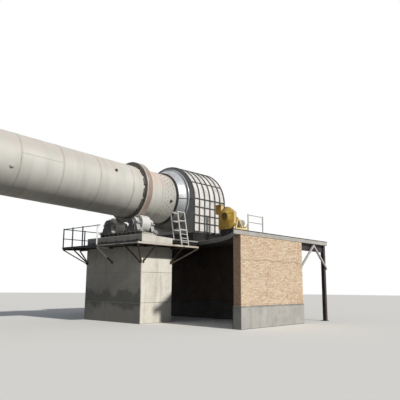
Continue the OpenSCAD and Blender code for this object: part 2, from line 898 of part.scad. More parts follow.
module hood_front_plate() {
    color("dimgray") difference() {
        run(hood_x, hood_x + hood_plate) vault_outline(hood_r, hood_z);
        translate([0, 0, axis_z(sleeve_x0)])
            rod(front_hole_r, hood_x - 10, hood_x + hood_plate + 10, round_fn);
    }
}

module hood_casing() {
    color("whitesmoke") run(hood_x + hood_plate, hood_x1 - hood_plate) difference() {
        vault_outline(hood_r, hood_z);
        vault_outline(hood_r - hood_wall, hood_z - 100);
    }
}

module hood_back_wall() {
    color("dimgray") difference() {
        run(hood_x1 - hood_plate, hood_x1) vault_outline(hood_r, hood_z);
        translate([0, 0, axis_z(hood_x1)])
            rod(burner_r, hood_x1 - 2 * hood_plate, hood_x1 + hood_plate);
    }
}

module burner_port() {
    flange_r = burner_r + 90;
    color("slategray") translate([0, 0, axis_z(hood_x1)]) {
        pipe(burner_r - touch_gap, burner_r - 25, hood_x1 - hood_plate, hood_x1 + 400, small_fn);
        pipe(flange_r, burner_r - 25, hood_x1 + 370, hood_x1 + 400, small_fn);
    }
}

module hood_bands() {
    seat = hood_r + touch_gap;
    band_seat = seat + 2;
    color("dimgray") {
        for (i = [0 : bay_count]) {
            x = i == 0 ? hood_x : i == bay_count ? hood_x1 - hoop_w : hood_x + i * bay - hoop_w / 2;
            run(x, x + hoop_w) difference() {
                vault_outline(seat + hoop_t, hood_z);
                vault_outline(seat, hood_z - 100);
            }
        }
        for (side = [-1, 1]) {
            y0 = side < 0 ? -band_seat - band_t : band_seat;
            for (z = band_heights)
                box([hood_x + 5, y0, z], [hood_x1 - 5, y0 + band_t, z + band_h]);
            box([hood_x + 5, y0, hood_z], [hood_x1 - 5, y0 + band_t, hood_z + sill_h]);
            translate([0, 0, hood_spring_z]) rotate([side * crown_band_angle, 0, 0])
                box([hood_x + 5, -band_h / 2, band_seat], [hood_x1 - 5, band_h / 2, band_seat + band_t]);
        }
    }
}

// Sleeve and seals round the turning shell

module inlet_sleeve() {
    color("gainsboro") translate([0, 0, axis_z(sleeve_x0)]) turn_about_x() {
        polygon([
            [sleeve_r0, sleeve_x0], [sleeve_r1, sleeve_x1], [sleeve_r1, hood_x],
            [sleeve_r1 + sleeve_t, hood_x], [sleeve_r1 + sleeve_t, sleeve_x1],
            [sleeve_r0 + sleeve_t, sleeve_x0]
        ]);
        translate([sleeve_r1 + sleeve_t, sleeve_x1]) circle(sleeve_ring_r, $fn = 24);
    }
}

module seal_ring(x0, x1, r_out) {
    bore_r = shell_r / cos(slope) + seal_gap;
    translate([0, 0, axis_z((x0 + x1) / 2)]) pipe(r_out, bore_r, x0, x1);
}

module end_seals() {
    color("black") {
        seal_ring(sleeve_x0 - seal_w, sleeve_x0, shell_r + seal_out);
        seal_ring(feed_x1, feed_x1 + seal_w, shell_r + seal_out + 60);
    }
}

// A small leaning steel stand, with its rear legs on the slab and its front legs on
// the near walkway

module access_stand() {
    leg = 44;
    walk_z = plane_z(0, cap_drop) - walk_drop;
    top_z = floor_z + stand_h;
    y_rear = -tongue_half_w + 40;
    y_front = y_rear - stand_w;
    x1 = stand_x + stand_l;
    rail_z = [floor_z + 0.31 * stand_h, floor_z + 0.64 * stand_h, top_z - leg];
    color("darkgray") {
        for (x = [stand_x, x1]) run(x - leg / 2, x + leg / 2) {
            stand_leg(y_rear, floor_z, top_z, leg);
            stand_leg(y_front, walk_z, top_z, leg);
            for (z = rail_z) translate([y_front + stand_lean(z), z]) square([stand_w, leg]);
        }
        for (z = rail_z, y = [y_front, y_rear])
            box([stand_x, y + stand_lean(z + leg / 2) - leg / 2 + 4, z],
                [x1, y + stand_lean(z + leg / 2) + leg / 2 - 4, z + leg]);
        for (i = [1 : 3]) {
            z = walk_z + i * (rail_z[0] - walk_z) / 4;
            box([stand_x, y_front + stand_lean(z) - 14, z - 14],
                [x1, y_front + stand_lean(z) + 14, z + 14]);
        }
    }
}

// Shift of the stand's legs toward the kiln at a height
function stand_lean(z) = stand_lean_y * (z - floor_z) / stand_h;

// One leg of the stand, leaning toward the kiln
module stand_leg(y, z0, z1, leg) {
    polygon([
        [y + stand_lean(z0) - leg / 2, z0], [y + stand_lean(z0) + leg / 2, z0],
        [y + stand_lean(z1) + leg / 2, z1], [y + stand_lean(z1) - leg / 2, z1]
    ]);
}

// Blower beside the hood

fan_z = floor_z + fan_h;
fan_x1 = fan_x + fan_w;
fan_stand_y = [fan_y - fan_near + 120, fan_y + fan_far - 120];
fan_base_h = 100;
fan_frame_y = [fan_y - 330, fan_y + 250];

// Outline of the blower's casing about its shaft, grown by a margin
module fan_outline(grow = 0) {
    near = -fan_near - grow;
    far = fan_far + grow;
    up = fan_up + grow;
    down = -fan_down - grow;
    polygon([
        [near, down + fan_cut_low], [near, up - fan_cut_z], [near + fan_cut_y, up],
        [far - fan_cut_y, up], [far, up - fan_cut_z], [far, down], [near + fan_cut_low, down]
    ]);
}

module blower_casing() {
    rim_t = 12;
    outlet_y1 = fan_far + fan_outlet_past;
    outlet_y0 = outlet_y1 - fan_outlet_w;
    color("goldenrod") difference() {
        translate([0, fan_y, fan_z]) {
            run(fan_x, fan_x1) {
                fan_outline();
                polygon([
                    [outlet_y0, fan_outlet_h], [outlet_y1, fan_outlet_h],
                    [outlet_y1, fan_up - fan_cut_z], [fan_far - 10, fan_up - fan_cut_z - 60],
                    [outlet_y0, fan_up - fan_cut_z - 60]
                ]);
            }
            for (x = [fan_x, fan_x1 - rim_t]) run(x, x + rim_t) fan_outline(fan_rim);
            box([fan_x - fan_rim, outlet_y0 - fan_rim, fan_outlet_h - rim_t],
                [fan_x1 + fan_rim, outlet_y1 + fan_rim, fan_outlet_h + rim_t]);
            rod(fan_inlet_r + 25, fan_x - 40, fan_x + 10);
        }
        translate([0, fan_y, fan_z]) {
            rod(fan_inlet_r, fan_x - 50, fan_x1 - 30);
            box([fan_x + 20, outlet_y0 + 20, fan_outlet_h - 200],
                [fan_x1 - 20, outlet_y1 - 20, fan_outlet_h + 2 * rim_t]);
        }
    }
}

module blower_stand() {
    beam = fan_base_h;
    x0 = fan_x - 60;
    x1 = fan_x1 + fan_frame_l;
    post_z1 = fan_z - fan_down;
    color("darkslategray") {
        for (y = fan_stand_y) {
            box([x0, y - beam / 2, floor_z], [x1, y + beam / 2, floor_z + beam]);
        }
        for (x = [x0, fan_x1 + 60, x1 - beam])
            box([x, fan_stand_y[0], floor_z + 20], [x + beam, fan_stand_y[1], floor_z + beam]);
        box([fan_x + 20, fan_stand_y[0] - beam / 2, floor_z + beam / 2],
            [fan_x1 - 20, fan_stand_y[1] + beam / 2, post_z1]);
    }
}

// Ends of the frame behind the casing, its base and the motor's seat
frame_x0 = fan_x1 + 40;
frame_x1 = fan_x1 + fan_frame_l - 60;
frame_z0 = floor_z + fan_base_h;
frame_z1 = fan_z - 20;
seat_z = frame_z0 + 0.54 * (frame_z1 - frame_z0);

// A side frame of the motor's seat: two leaning legs to its apex, and an end post with a leg
module seat_side() {
    bar = seat_bar;
    length = frame_x1 - frame_x0;
    apex_x = frame_x0 + 0.3 * length;
    post_z1 = seat_z + 3.9 * bar;
    for (x = [frame_x0, frame_x1 - bar])
        polygon([[x, frame_z0], [x + bar, frame_z0], [apex_x + bar, frame_z1], [apex_x, frame_z1]]);
    translate([frame_x0 + 0.15 * length, seat_z - bar]) square([0.85 * length, bar]);
    translate([frame_x1 - bar, frame_z0]) square([bar, post_z1 - frame_z0]);
    polygon([
        [frame_x1 - 5.5 * bar, seat_z - bar], [frame_x1 - 4.6 * bar, seat_z - bar],
        [frame_x1, post_z1], [frame_x1 - bar, post_z1]
    ]);
    translate([frame_x0, frame_z0]) square([length, bar / 2]);
}

module blower_frame() {
    plate = 0.6 * seat_bar;
    color("gold") {
        for (y = fan_frame_y) run_across(y - 30, y + 30) seat_side();
        box([frame_x1 - motor_l_fan - seat_bar, fan_frame_y[0], seat_z - plate],
            [frame_x1 - 20, fan_frame_y[1], seat_z]);
        box([frame_x1 - seat_bar, fan_frame_y[0], seat_z + 1.3 * seat_bar],
            [frame_x1, fan_frame_y[1], seat_z + 2 * seat_bar]);
    }
}

module blower_motor() {
    r = motor_r_fan;
    x1 = frame_x1 - seat_bar - 20;
    x0 = x1 - motor_l_fan;
    motor_z = seat_z + 1.9 * r;
    color("sienna") translate([0, fan_y, 0]) {
        translate([0, 0, motor_z]) rod(r, x0, x1);
        box([x0 + 60, -0.9 * r, seat_z], [x1 - 60, 0.9 * r, motor_z]);
        translate([0, 0, fan_z]) rod(32, fan_x1, x0 + 60);
        box([fan_x1, -60, motor_z], [fan_x1 + 90, 60, fan_z]);
        translate([0, 0, fan_z]) rod(90, x0 - 80, x0 + 10);
    }
}

// Feed housing at the high end

module feed_housing() {
    color("gainsboro") difference() {
        union() {
            box([feed_x0, -feed_half, feed_z0], [feed_x1, feed_half, feed_z1]);
            translate([flue_x, 0, feed_z1 - 10])
                cylinder(h = flue_h + 10, r = flue_r, $fn = round_fn);
            translate([flue_x, 0, feed_z1 + flue_h - 40])
                cylinder(h = 40, r = flue_r + 90, $fn = round_fn);
        }
        box([feed_x0 + feed_wall, -feed_half + feed_wall, feed_z0 + feed_wall],
            [feed_x1 - feed_wall, feed_half - feed_wall, feed_z1 - feed_wall]);
        translate([flue_x, 0, feed_z1 - 2 * feed_wall])
            cylinder(h = flue_h + 3 * feed_wall, r = flue_r - 12, $fn = round_fn);
        translate([chute_x, 0, feed_z1 - 2 * feed_wall])
            cylinder(h = 3 * feed_wall, r = chute_r - 10, $fn = small_fn);
        translate([0, 0, axis_z(feed_x1)])
            rod(shell_r + 60, feed_x1 - 2 * feed_wall, feed_x1 + feed_wall, round_fn);
    }
}

module feed_hopper() {
    color("gainsboro") hull() {
        inset = column_inset + column_w + 30;
        box([feed_x0 + inset, -feed_half + inset, feed_z0 - 10],
            [feed_x1 - inset, feed_half - inset, feed_z0]);
        box([feed_mid_x - hopper_outlet / 2, -hopper_outlet / 2, feed_z0 - hopper_h],
            [feed_mid_x + hopper_outlet / 2, hopper_outlet / 2, feed_z0 - hopper_h + 10]);
    }
}

module feed_chute() {
    color("silver") translate([chute_x, 0, feed_z1]) difference() {
        union() {
            cylinder(h = chute_h, r = chute_r, $fn = small_fn);
            for (z = [0, chute_h - chute_flange_t]) translate([0, 0, z])
                cylinder(h = chute_flange_t, r = chute_r + chute_flange_w, $fn = small_fn);
        }
        translate([0, 0, -chute_flange_t])
            cylinder(h = chute_h + 2 * chute_flange_t, r = chute_r - 10, $fn = small_fn);
    }
}

module feed_frame() {
    beam = 0.8 * column_w;
    low_z = 0.45 * feed_z0;
    x_low = feed_x0 + column_inset;
    x_high = feed_x1 - column_inset - column_w;
    y_high = feed_half - column_inset - column_w;
    color("steelblue") {
        for (x = [x_low, x_high], y = [-y_high - column_w, y_high])
            box([x, y, 0], [x + column_w, y + column_w, feed_z0]);
        for (z = [low_z, feed_z0 - beam]) {
            for (y = [-y_high - column_w, y_high])
                box([x_low, y + 20, z], [x_high + column_w, y + 20 + beam, z + beam]);
            for (x = [x_low, x_high])
                box([x + 20, -y_high - column_w, z], [x + 20 + beam, y_high + column_w, z + beam]);
        }
    }
}

pier_discharge();
pier_feed();
pier_caps();
drive_pier();
roller_frames();
roller_bearings();
walkway_decks();
walkway_brackets();
walkway_handrails();
platform_slab();
brick_walls();
platform_posts();
discharge_collar();
wall_plinth();
platform_braces();
platform_rail();
hood_base_frame();
hood_front_plate();
hood_casing();
hood_back_wall();
hood_bands();
inlet_sleeve();
end_seals();
burner_port();
access_stand();
blower_casing();
blower_stand();
blower_frame();
blower_motor();
pinion_bearings();
gearbox();
drive_motor();
feed_housing();
feed_hopper();
feed_chute();
feed_frame();
kiln_shell();
tyre_discharge();
tyre_feed();
tyre_pads();
girth_gear();
gear_springs();
roller_discharge_near();
roller_discharge_far();
roller_feed_near();
roller_feed_far();
pinion();
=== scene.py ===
"""Dresses the rotary kiln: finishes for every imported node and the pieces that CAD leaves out.

The kiln runs along +X and falls toward the hood, the blower stands on the -Y side and +Z
is up. All sizes are in metres.
"""

import json
import logging
import math
from dataclasses import dataclass, field
from enum import Enum
from typing import Any, Callable, Iterable, Sequence

import bmesh
import bpy
from mathutils import Matrix, Vector

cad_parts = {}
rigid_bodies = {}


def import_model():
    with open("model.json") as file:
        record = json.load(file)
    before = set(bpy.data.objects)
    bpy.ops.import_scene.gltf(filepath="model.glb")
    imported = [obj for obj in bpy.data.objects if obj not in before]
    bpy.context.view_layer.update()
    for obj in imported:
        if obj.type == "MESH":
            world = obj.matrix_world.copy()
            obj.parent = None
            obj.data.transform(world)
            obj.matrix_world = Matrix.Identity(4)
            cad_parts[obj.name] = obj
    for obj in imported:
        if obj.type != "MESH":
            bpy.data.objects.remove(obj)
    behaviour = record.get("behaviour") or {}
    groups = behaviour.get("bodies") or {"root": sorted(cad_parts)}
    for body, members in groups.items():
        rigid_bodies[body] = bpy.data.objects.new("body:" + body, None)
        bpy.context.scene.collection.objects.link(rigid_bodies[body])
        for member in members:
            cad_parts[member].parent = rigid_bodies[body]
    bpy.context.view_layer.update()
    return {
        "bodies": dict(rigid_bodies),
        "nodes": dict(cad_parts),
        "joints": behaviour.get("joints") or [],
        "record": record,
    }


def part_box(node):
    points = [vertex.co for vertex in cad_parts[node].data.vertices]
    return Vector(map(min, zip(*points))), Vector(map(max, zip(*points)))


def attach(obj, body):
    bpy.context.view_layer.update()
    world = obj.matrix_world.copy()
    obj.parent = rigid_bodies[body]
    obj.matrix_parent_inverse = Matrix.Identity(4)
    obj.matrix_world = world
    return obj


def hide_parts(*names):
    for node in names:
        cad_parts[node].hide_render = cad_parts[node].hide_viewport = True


LOG = logging.getLogger("kiln")
Colour = tuple[float, float, float]
Point = Sequence[float]
Socket, Material = bpy.types.NodeSocket, bpy.types.Material
Tree, Mesh, Piece = bpy.types.NodeTree, bpy.types.Mesh, bpy.types.Object
Fill = Callable[["Graph", list[Socket]], Any]
FLOAT, VECTOR, GEOMETRY = "NodeSocketFloat", "NodeSocketVector", "NodeSocketGeometry"
# Socket types by the type of an input's default
SOCKET_OF = {float: FLOAT, int: "NodeSocketInt", tuple: VECTOR}
# Colour of the painted shade inside the room under the platform
ROOM_SHADE = (0.022, 0.019, 0.017)
UP = (0.0, 0.0, 1.0)


class Body(Enum):
    """The rigid bodies that a piece can ride on."""

    ROOT = "root"
    KILN = "kiln"
    PINION = "pinion"
    DISCHARGE_NEAR = "roller_discharge_near"
    DISCHARGE_FAR = "roller_discharge_far"
    FEED_NEAR = "roller_feed_near"
    FEED_FAR = "roller_feed_far"


class Heads(Enum):
    """Which way the heads of a ring of bolts point."""

    ALONG = 0.0
    OUTWARD = 1.0


# ---------------------------------------------------------------------------
# Node trees


class Graph:
    """Adds nodes to one tree and links them as it goes."""

    def __init__(self, tree: Tree) -> None:
        """Keeps the shader or geometry tree that is filled."""
        self.tree = tree

    def add(self, kind: str, sockets: dict[Any, Any] | None = None, **settings: Any) -> bpy.types.Node:
        """Adds a node, sets it up and links it.

        Args:
            kind: The node's type name.
            sockets: Values or output sockets by the input's name or number.
            settings: Attributes of the node.

        Returns:
            The new node.
        """
        node = self.tree.nodes.new(kind)
        for name, value in settings.items():
            setattr(node, name, value)
        for key, value in (sockets or {}).items():
            if isinstance(value, Socket):
                self.tree.links.new(value, node.inputs[key])
            else:
                node.inputs[key].default_value = value
        return node

    def out(self, kind: str, sockets: dict[Any, Any] | None = None, **settings: Any) -> Socket:
        """Adds a node as add() does, and gives its first output."""
        return self.add(kind, sockets, **settings).outputs[0]

    def math(self, operation: str, *values: Any, clamp: bool = False) -> Socket:
        """Adds a Math node.

        Args:
            operation: Its operation.
            values: Up to three numbers or sockets.
            clamp: Whether the result stays within 0 and 1.

        Returns:
            The result's socket.
        """
        return self.out("ShaderNodeMath", dict(enumerate(values)), operation=operation, use_clamp=clamp)

    def times(self, first: Any, *others: Any) -> Socket:
        """Multiplies numbers and sockets."""
        for other in others:
            first = self.math("MULTIPLY", first, other)
        return first

    def scaled(self, value: Any, scale: Any, shift: Any) -> Socket:
        """Multiplies a value by a scale and adds a shift."""
        return self.math("MULTIPLY_ADD", value, scale, shift)

    def vector(self, operation: str, *values: Any) -> Socket:
        """Adds a Vector Math node and gives its vector."""
        return self.out("ShaderNodeVectorMath", dict(enumerate(values)), operation=operation)

    def point(self, x: Any = 0.0, y: Any = 0.0, z: Any = 0.0) -> Socket:
        """Makes a vector of three numbers or sockets."""
        return self.out("ShaderNodeCombineXYZ", {0: x, 1: y, 2: z})

    def part(self, vector: Socket, axis: int) -> Socket:
        """Gives one component of a vector."""
        return self.add("ShaderNodeSeparateXYZ", {0: vector}).outputs[axis]

    def facing(self, axis: int) -> Socket:
        """Gives how far the surface faces along one of the object's axes."""
        return self.part(self.add("ShaderNodeTexCoord").outputs["Normal"], axis)

    def mix(self, factor: Any, first: Any, second: Any) -> Socket:
        """Mixes two colours.

        Args:
            factor: The share of the second colour.
            first: The first colour, or its socket.
            second: The second colour, or its socket.

        Returns:
            The mixed colour's socket.
        """
        sockets = {0: factor, 6: _rgba(first), 7: _rgba(second)}
        return self.add("ShaderNodeMix", sockets, data_type="RGBA").outputs[2]

    def lay(self, colour: Any, tint: Any, mask: Any, share: float = 1.0) -> Socket:
        """Lays a tint over a colour.

        Args:
            colour: The colour so far, or its socket.
            tint: The colour that comes over it, or its socket.
            mask: Where it comes.
            share: How much of it shows there.

        Returns:
            The new colour's socket.
        """
        return self.mix(self.times(mask, share) if share < 1.0 else mask, colour, tint)

    def span(self, value: Any, low: Any, high: Any, out_low: float = 0.0, out_high: float = 1.0) -> Socket:
        """Maps a range of values smoothly onto another.

        Args:
            value: The number's socket.
            low: The value that gives out_low.
            high: The value that gives out_high.
            out_low: The result at low.
            out_high: The result at high.

        Returns:
            The mapped number's socket.
        """
        return self.out("ShaderNodeMapRange", {0: value, 1: low, 2: high, 3: out_low, 4: out_high},
                        interpolation_type="SMOOTHSTEP")

    def off_step(self, value: Socket, start: float, pitch: float) -> Socket:
        """Gives how far a value is off the nearest of equal steps, as a share of a step.

        Args:
            value: The number's socket.
            start: One of the steps.
            pitch: Distance from step to step.

        Returns:
            The share's socket, from 0 to 0.5.
        """
        course = self.math("DIVIDE", self.math("SUBTRACT", value, start), pitch)
        turns = self.math("FRACT", self.math("ADD", course, 0.5))
        return self.math("ABSOLUTE", self.math("SUBTRACT", turns, 0.5))

    def noise(self, vector: Any, scale: Any, detail: float = 4.0, roughness: float = 0.55) -> Socket:
        """Adds a noise texture.

        Args:
            vector: The coordinates' socket.
            scale: Its scale.
            detail: Its number of octaves.
            roughness: How strong the fine octaves are.

        Returns:
            The noise's value socket.
        """
        return self.out("ShaderNodeTexNoise", {"Vector": vector, "Scale": scale, "Detail": detail,
                                               "Roughness": roughness})

    def join(self, *shapes: Socket) -> Socket:
        """Joins the geometry of several sockets.

        Args:
            shapes: The geometry sockets.

        Returns:
            The joined geometry's socket.
        """
        node = self.add("GeometryNodeJoinGeometry")
        for shape in shapes:
            self.tree.links.new(shape, node.inputs[0])
        return node.outputs[0]

    def scatter(self, points: Socket, shape: Socket, **sockets: Any) -> Socket:
        """Places a shape on points.

        Args:
            points: The points' geometry.
            shape: The shape's geometry.
            sockets: Other inputs by name, such as Rotation.

        Returns:
            The instances' socket.
        """
        return self.shape("InstanceOnPoints", Points=points, Instance=shape, **sockets)

    def shape(self, kind: str, **sockets: Any) -> Socket:
        """Adds a geometry node and gives its first output."""
        return self.out("GeometryNode" + kind, sockets)

    def aimed(self, aim: Socket, axis: str = "Z", **settings: Any) -> Socket:
        """Gives the turn that points an axis along an aim."""
        return self.out("FunctionNodeAlignRotationToVector", {"Vector": aim}, axis=axis, **settings)

    def outward(self) -> Socket:
        """Gives the direction from the origin to each point."""
        return self.vector("NORMALIZE", self.shape("InputPosition"))

    def random(self, seed: Any, high: Any) -> Socket:
        """Gives a random number from 0 up to a high one."""
        return self.add("FunctionNodeRandomValue", {2: 0.0, 3: high, "Seed": seed}, data_type="FLOAT").outputs[1]

    def steps(self, path: Socket, length: Socket) -> Socket:
        """Makes a curve of equal steps from a path of edges."""
        curve = self.shape("MeshToCurve", Mesh=path)
        return self.out("GeometryNodeResampleCurve", {"Curve": curve, "Length": length}, mode="LENGTH")


def _rgba(value: Any) -> Any:
    """Gives a colour of three numbers its alpha, and leaves a socket as it is."""
    return (*value, 1.0) if isinstance(value, tuple) else value


def darker(colour: Colour, share: float) -> Colour:
    """Gives a share of a colour's light."""
    return tuple(share * channel for channel in colour)


def cleared(data: Any) -> Graph:
    """Empties the node tree of a material or a world and gives its graph."""
    data.use_nodes = True
    data.node_tree.nodes.clear()
    return Graph(data.node_tree)


def take_inputs(tree: Tree, inputs: dict[str, Any]) -> None:
    """Adds an input for each default in a dictionary."""
    for label, default in inputs.items():
        kind = SOCKET_OF[type(default)]
        tree.interface.new_socket(label, in_out="INPUT", socket_type=kind).default_value = default


def entries(graph: Graph) -> list[Socket]:
    """Gives a group's inputs in their order."""
    return [socket for socket in graph.add("NodeGroupInput").outputs if socket.name]


def shader_group(name: str, inputs: dict[str, float], outputs: dict[str, str], fill: Fill) -> Tree:
    """Builds a shader node group once. Its first input is Vector.

    Args:
        name: The group's name.
        inputs: Default of each other input.
        outputs: Socket type of each output.
        fill: Makes the nodes and returns the outputs' sockets in their order.

    Returns:
        The group.
    """
    tree = bpy.data.node_groups.get(name)
    if tree:
        return tree
    tree = bpy.data.node_groups.new(name, "ShaderNodeTree")
    take_inputs(tree, {"Vector": (0.0, 0.0, 0.0), **inputs})
    for label, kind in outputs.items():
        tree.interface.new_socket(label, in_out="OUTPUT", socket_type=kind)
    graph = Graph(tree)
    graph.add("NodeGroupOutput", dict(enumerate(fill(graph, entries(graph)))))
    return tree


def mottle_group() -> Tree:
    """Builds the group that makes uneven patches.

    Returns:
        The group, with inputs Vector, Scale, Cover and Softness and the output Mask.
    """
    def fill(graph: Graph, inputs: list[Socket]) -> list[Socket]:
        vector, scale, cover, softness = inputs
        edge = graph.math("SUBTRACT", 1.0, cover)
        return [graph.span(graph.noise(vector, scale, 6.0, 0.6), graph.math("SUBTRACT", edge, softness),
                           graph.math("ADD", edge, softness))]

    return shader_group("Mottle", {"Scale": 1.0, "Cover": 0.5, "Softness": 0.1}, {"Mask": FLOAT}, fill)


def runs_group() -> Tree:
    """Builds the group that makes marks of water running down.

    Returns:
        The group, with inputs Vector, Width, Length and Cover and the output Mask.
    """
    def fill(graph: Graph, inputs: list[Socket]) -> list[Socket]:
        vector, width, length, cover = inputs
        across, down = graph.math("DIVIDE", 1.0, width), graph.math("DIVIDE", 1.0, length)
        place = graph.vector("MULTIPLY", vector, graph.point(across, across, down))
        low = graph.math("SUBTRACT", 0.98, cover)
        return [graph.span(graph.noise(place, 1.0, 3.0, 0.6), low, graph.math("ADD", low, 0.16))]

    return shader_group("Runs", {"Width": 0.1, "Length": 1.0, "Cover": 0.5}, {"Mask": FLOAT}, fill)


def edge_wear_group() -> Tree:
    """Builds the group that finds the edges that hands and weather rub.

    Returns:
        The group, with inputs Vector, Radius and Amount and the outputs Mask and Normal.
    """
    def fill(graph: Graph, inputs: list[Socket]) -> list[Socket]:
        vector, radius, amount = inputs
        bevel = graph.out("ShaderNodeBevel", {"Radius": radius}, samples=4)
        normal = graph.add("ShaderNodeNewGeometry").outputs["Normal"]
        both = graph.add("ShaderNodeVectorMath", {0: bevel, 1: normal}, operation="DOT_PRODUCT")
        rounded = graph.span(both.outputs["Value"], 0.995, 0.86)
        return [graph.times(rounded, graph.span(graph.noise(vector, 9.0, 5.0, 0.7), 0.42, 0.6), amount), bevel]

    return shader_group("Edge wear", {"Radius": 0.01, "Amount": 0.5}, {"Mask": FLOAT, "Normal": VECTOR}, fill)


def dust_group() -> Tree:
    """Builds the group that lays dust on what faces up.

    Returns:
        The group, with inputs Vector and Amount and the output Mask.
    """
    def fill(graph: Graph, inputs: list[Socket]) -> list[Socket]:
        vector, amount = inputs
        uneven = graph.span(graph.noise(vector, 2.4, 5.0, 0.65), 0.3, 0.62)
        settled = graph.scaled(graph.span(graph.facing(2), 0.15, 0.9), uneven, graph.times(uneven, 0.22))
        return [graph.math("MULTIPLY", settled, amount, clamp=True)]

    return shader_group("Dust", {"Amount": 0.5}, {"Mask": FLOAT}, fill)


def grain_group() -> Tree:
    """Builds the group of fine surface relief.

    Returns:
        The group, with inputs Vector, Coarse, Fine and Share and the output Height.
    """
    def fill(graph: Graph, inputs: list[Socket]) -> list[Socket]:
        vector, coarse, fine, share = inputs
        return [graph.scaled(graph.noise(vector, fine, 3.0), share, graph.noise(vector, coarse, 4.0))]

    return shader_group("Grain", {"Coarse": 3.0, "Fine": 60.0, "Share": 0.3}, {"Height": FLOAT}, fill)


def kiln_place_group(axis_height: float, slope: float) -> Tree:
    """Builds the group that turns a place into places along and round the kiln.

    Args:
        axis_height: Height of the kiln's axis at the origin.
        slope: Fall of the kiln toward +X, in radians.

    Returns:
        The group, with the input Vector and the outputs Along and Ring.
    """
    def fill(graph: Graph, inputs: list[Socket]) -> list[Socket]:
        start = {"Vector": inputs[0], "Location": (0.0, 0.0, axis_height), "Rotation": (0.0, slope, 0.0)}
        local = graph.out("ShaderNodeMapping", start, vector_type="TEXTURE")
        along, across, above = (graph.part(local, axis) for axis in range(3))
        square = graph.math("ADD", graph.times(across, across), graph.times(above, above))
        safe = graph.math("MAXIMUM", graph.math("SQRT", square), 0.01)
        return [along, graph.point(along, graph.math("DIVIDE", across, safe), graph.math("DIVIDE", above, safe))]

    return shader_group("Place on kiln", {}, {"Along": FLOAT, "Ring": VECTOR}, fill)


def room_shade_group() -> Tree:
    """Builds the group that finds the inside of the room under the platform, where shade is painted.

    Returns:
        The group, with inputs Vector, Half width, Length and Height and the output Mask.
    """
    def fill(graph: Graph, inputs: list[Socket]) -> list[Socket]:
        vector, half_width, length, height = inputs
        x, y, z = (graph.part(vector, axis) for axis in range(3))
        inside = (graph.math("LESS_THAN", place, limit)
                  for place, limit in ((graph.math("ABSOLUTE", y), half_width), (x, length), (z, height)))
        uneven = graph.math("MULTIPLY_ADD", graph.noise(vector, 1.2), 0.3, 0.75, clamp=True)
        return [graph.times(uneven, *inside)]

    room = {"Half width": 6.33, "Length": 4.17, "Height": 3.565}
    return shader_group("Room soot", room, {"Mask": FLOAT}, fill)


# ---------------------------------------------------------------------------
# Finishes


class Surface:
    """Starts a material with object coordinates and closes it with a Principled shader."""

    def __init__(self, name: str) -> None:
        """Makes an empty material of a name."""
        self.material = bpy.data.materials.new(name)
        self.graph = cleared(self.material)
        self.coords = self.graph.add("ShaderNodeTexCoord").outputs["Object"]

    def group(self, tree: Tree, output: str, **values: Any) -> Socket:
        """Places a shared group.

        Args:
            tree: The group.
            output: Name of the output that is wanted.
            values: Values or sockets by input name.

        Returns:
            That output's socket.
        """
        sockets = {"Vector": self.coords, **values}
        return self.graph.add("ShaderNodeGroup", sockets, node_tree=tree).outputs[output]

    def mottle(self, scale: float, cover: float, softness: float = 0.08, vector: Any = None) -> Socket:
        """Gives a mask of uneven patches."""
        return self.group(mottle_group(), "Mask", Vector=vector or self.coords, Scale=scale,
                          Cover=cover, Softness=softness)

    def runs(self, width: float, length: float, cover: float) -> Socket:
        """Gives a mask of marks that run down."""
        return self.group(runs_group(), "Mask", Width=width, Length=length, Cover=cover)

    def wear(self, radius: float, amount: float) -> Socket:
        """Gives a mask of rubbed edges."""
        return self.group(edge_wear_group(), "Mask", Radius=radius, Amount=amount)

    def dust(self, amount: float) -> Socket:
        """Gives a mask of dust on what faces up."""
        return self.group(dust_group(), "Mask", Amount=amount)

    def grain(self, coarse: float, fine: float, share: float) -> Socket:
        """Gives the height of fine relief."""
        return self.group(grain_group(), "Height", Coarse=coarse, Fine=fine, Share=share)

    def uphill(self) -> Socket:
        """Gives a mask of the faces that look uphill, away from the hood."""
        return self.graph.span(self.graph.facing(0), -0.3, -0.8)

    def soot(self, colour: Any) -> Socket:
        """Lays painted shade over a colour inside the room under the platform."""
        return self.graph.lay(colour, ROOM_SHADE, self.group(room_shade_group(), "Mask"))

    def level(self, scale: float, height: float, detail: float = 4.0, roughness: float = 0.55) -> Socket:
        """Gives the height above the ground with waves in it.

        Args:
            scale: Scale of the waves' noise.
            height: How high they go.
            detail: The noise's number of octaves.
            roughness: How strong its fine octaves are.

        Returns:
            The level's socket.
        """
        waves = self.graph.noise(self.coords, scale, detail, roughness)
        return self.graph.math("ADD", self.graph.part(self.coords, 2),
                               self.graph.scaled(waves, height, -0.5 * height))

    def close(self, colour: Any, roughness: Any, metallic: Any, height: Socket, depth: float,
              edge: float = 0.0, gloss: float = 0.5) -> Material:
        """Adds the shader.

        Args:
            colour: The base colour's socket.
            roughness: The roughness or its socket.
            metallic: How metallic the surface is, or its socket.
            height: The relief's socket.
            depth: How deep the relief is.
            edge: Radius by which edges look rounded.
            gloss: The shader's specular level.

        Returns:
            The material.
        """
        relief = {"Height": height, "Distance": depth, "Strength": 0.6}
        if edge:
            relief["Normal"] = self.group(edge_wear_group(), "Normal", Radius=edge)
        shader = self.graph.out("ShaderNodeBsdfPrincipled", {
            "Base Color": colour, "Roughness": roughness, "Metallic": metallic,
            "Specular IOR Level": gloss, "Normal": self.graph.out("ShaderNodeBump", relief)})
        self.graph.add("ShaderNodeOutputMaterial", {"Surface": shader})
        return self.material


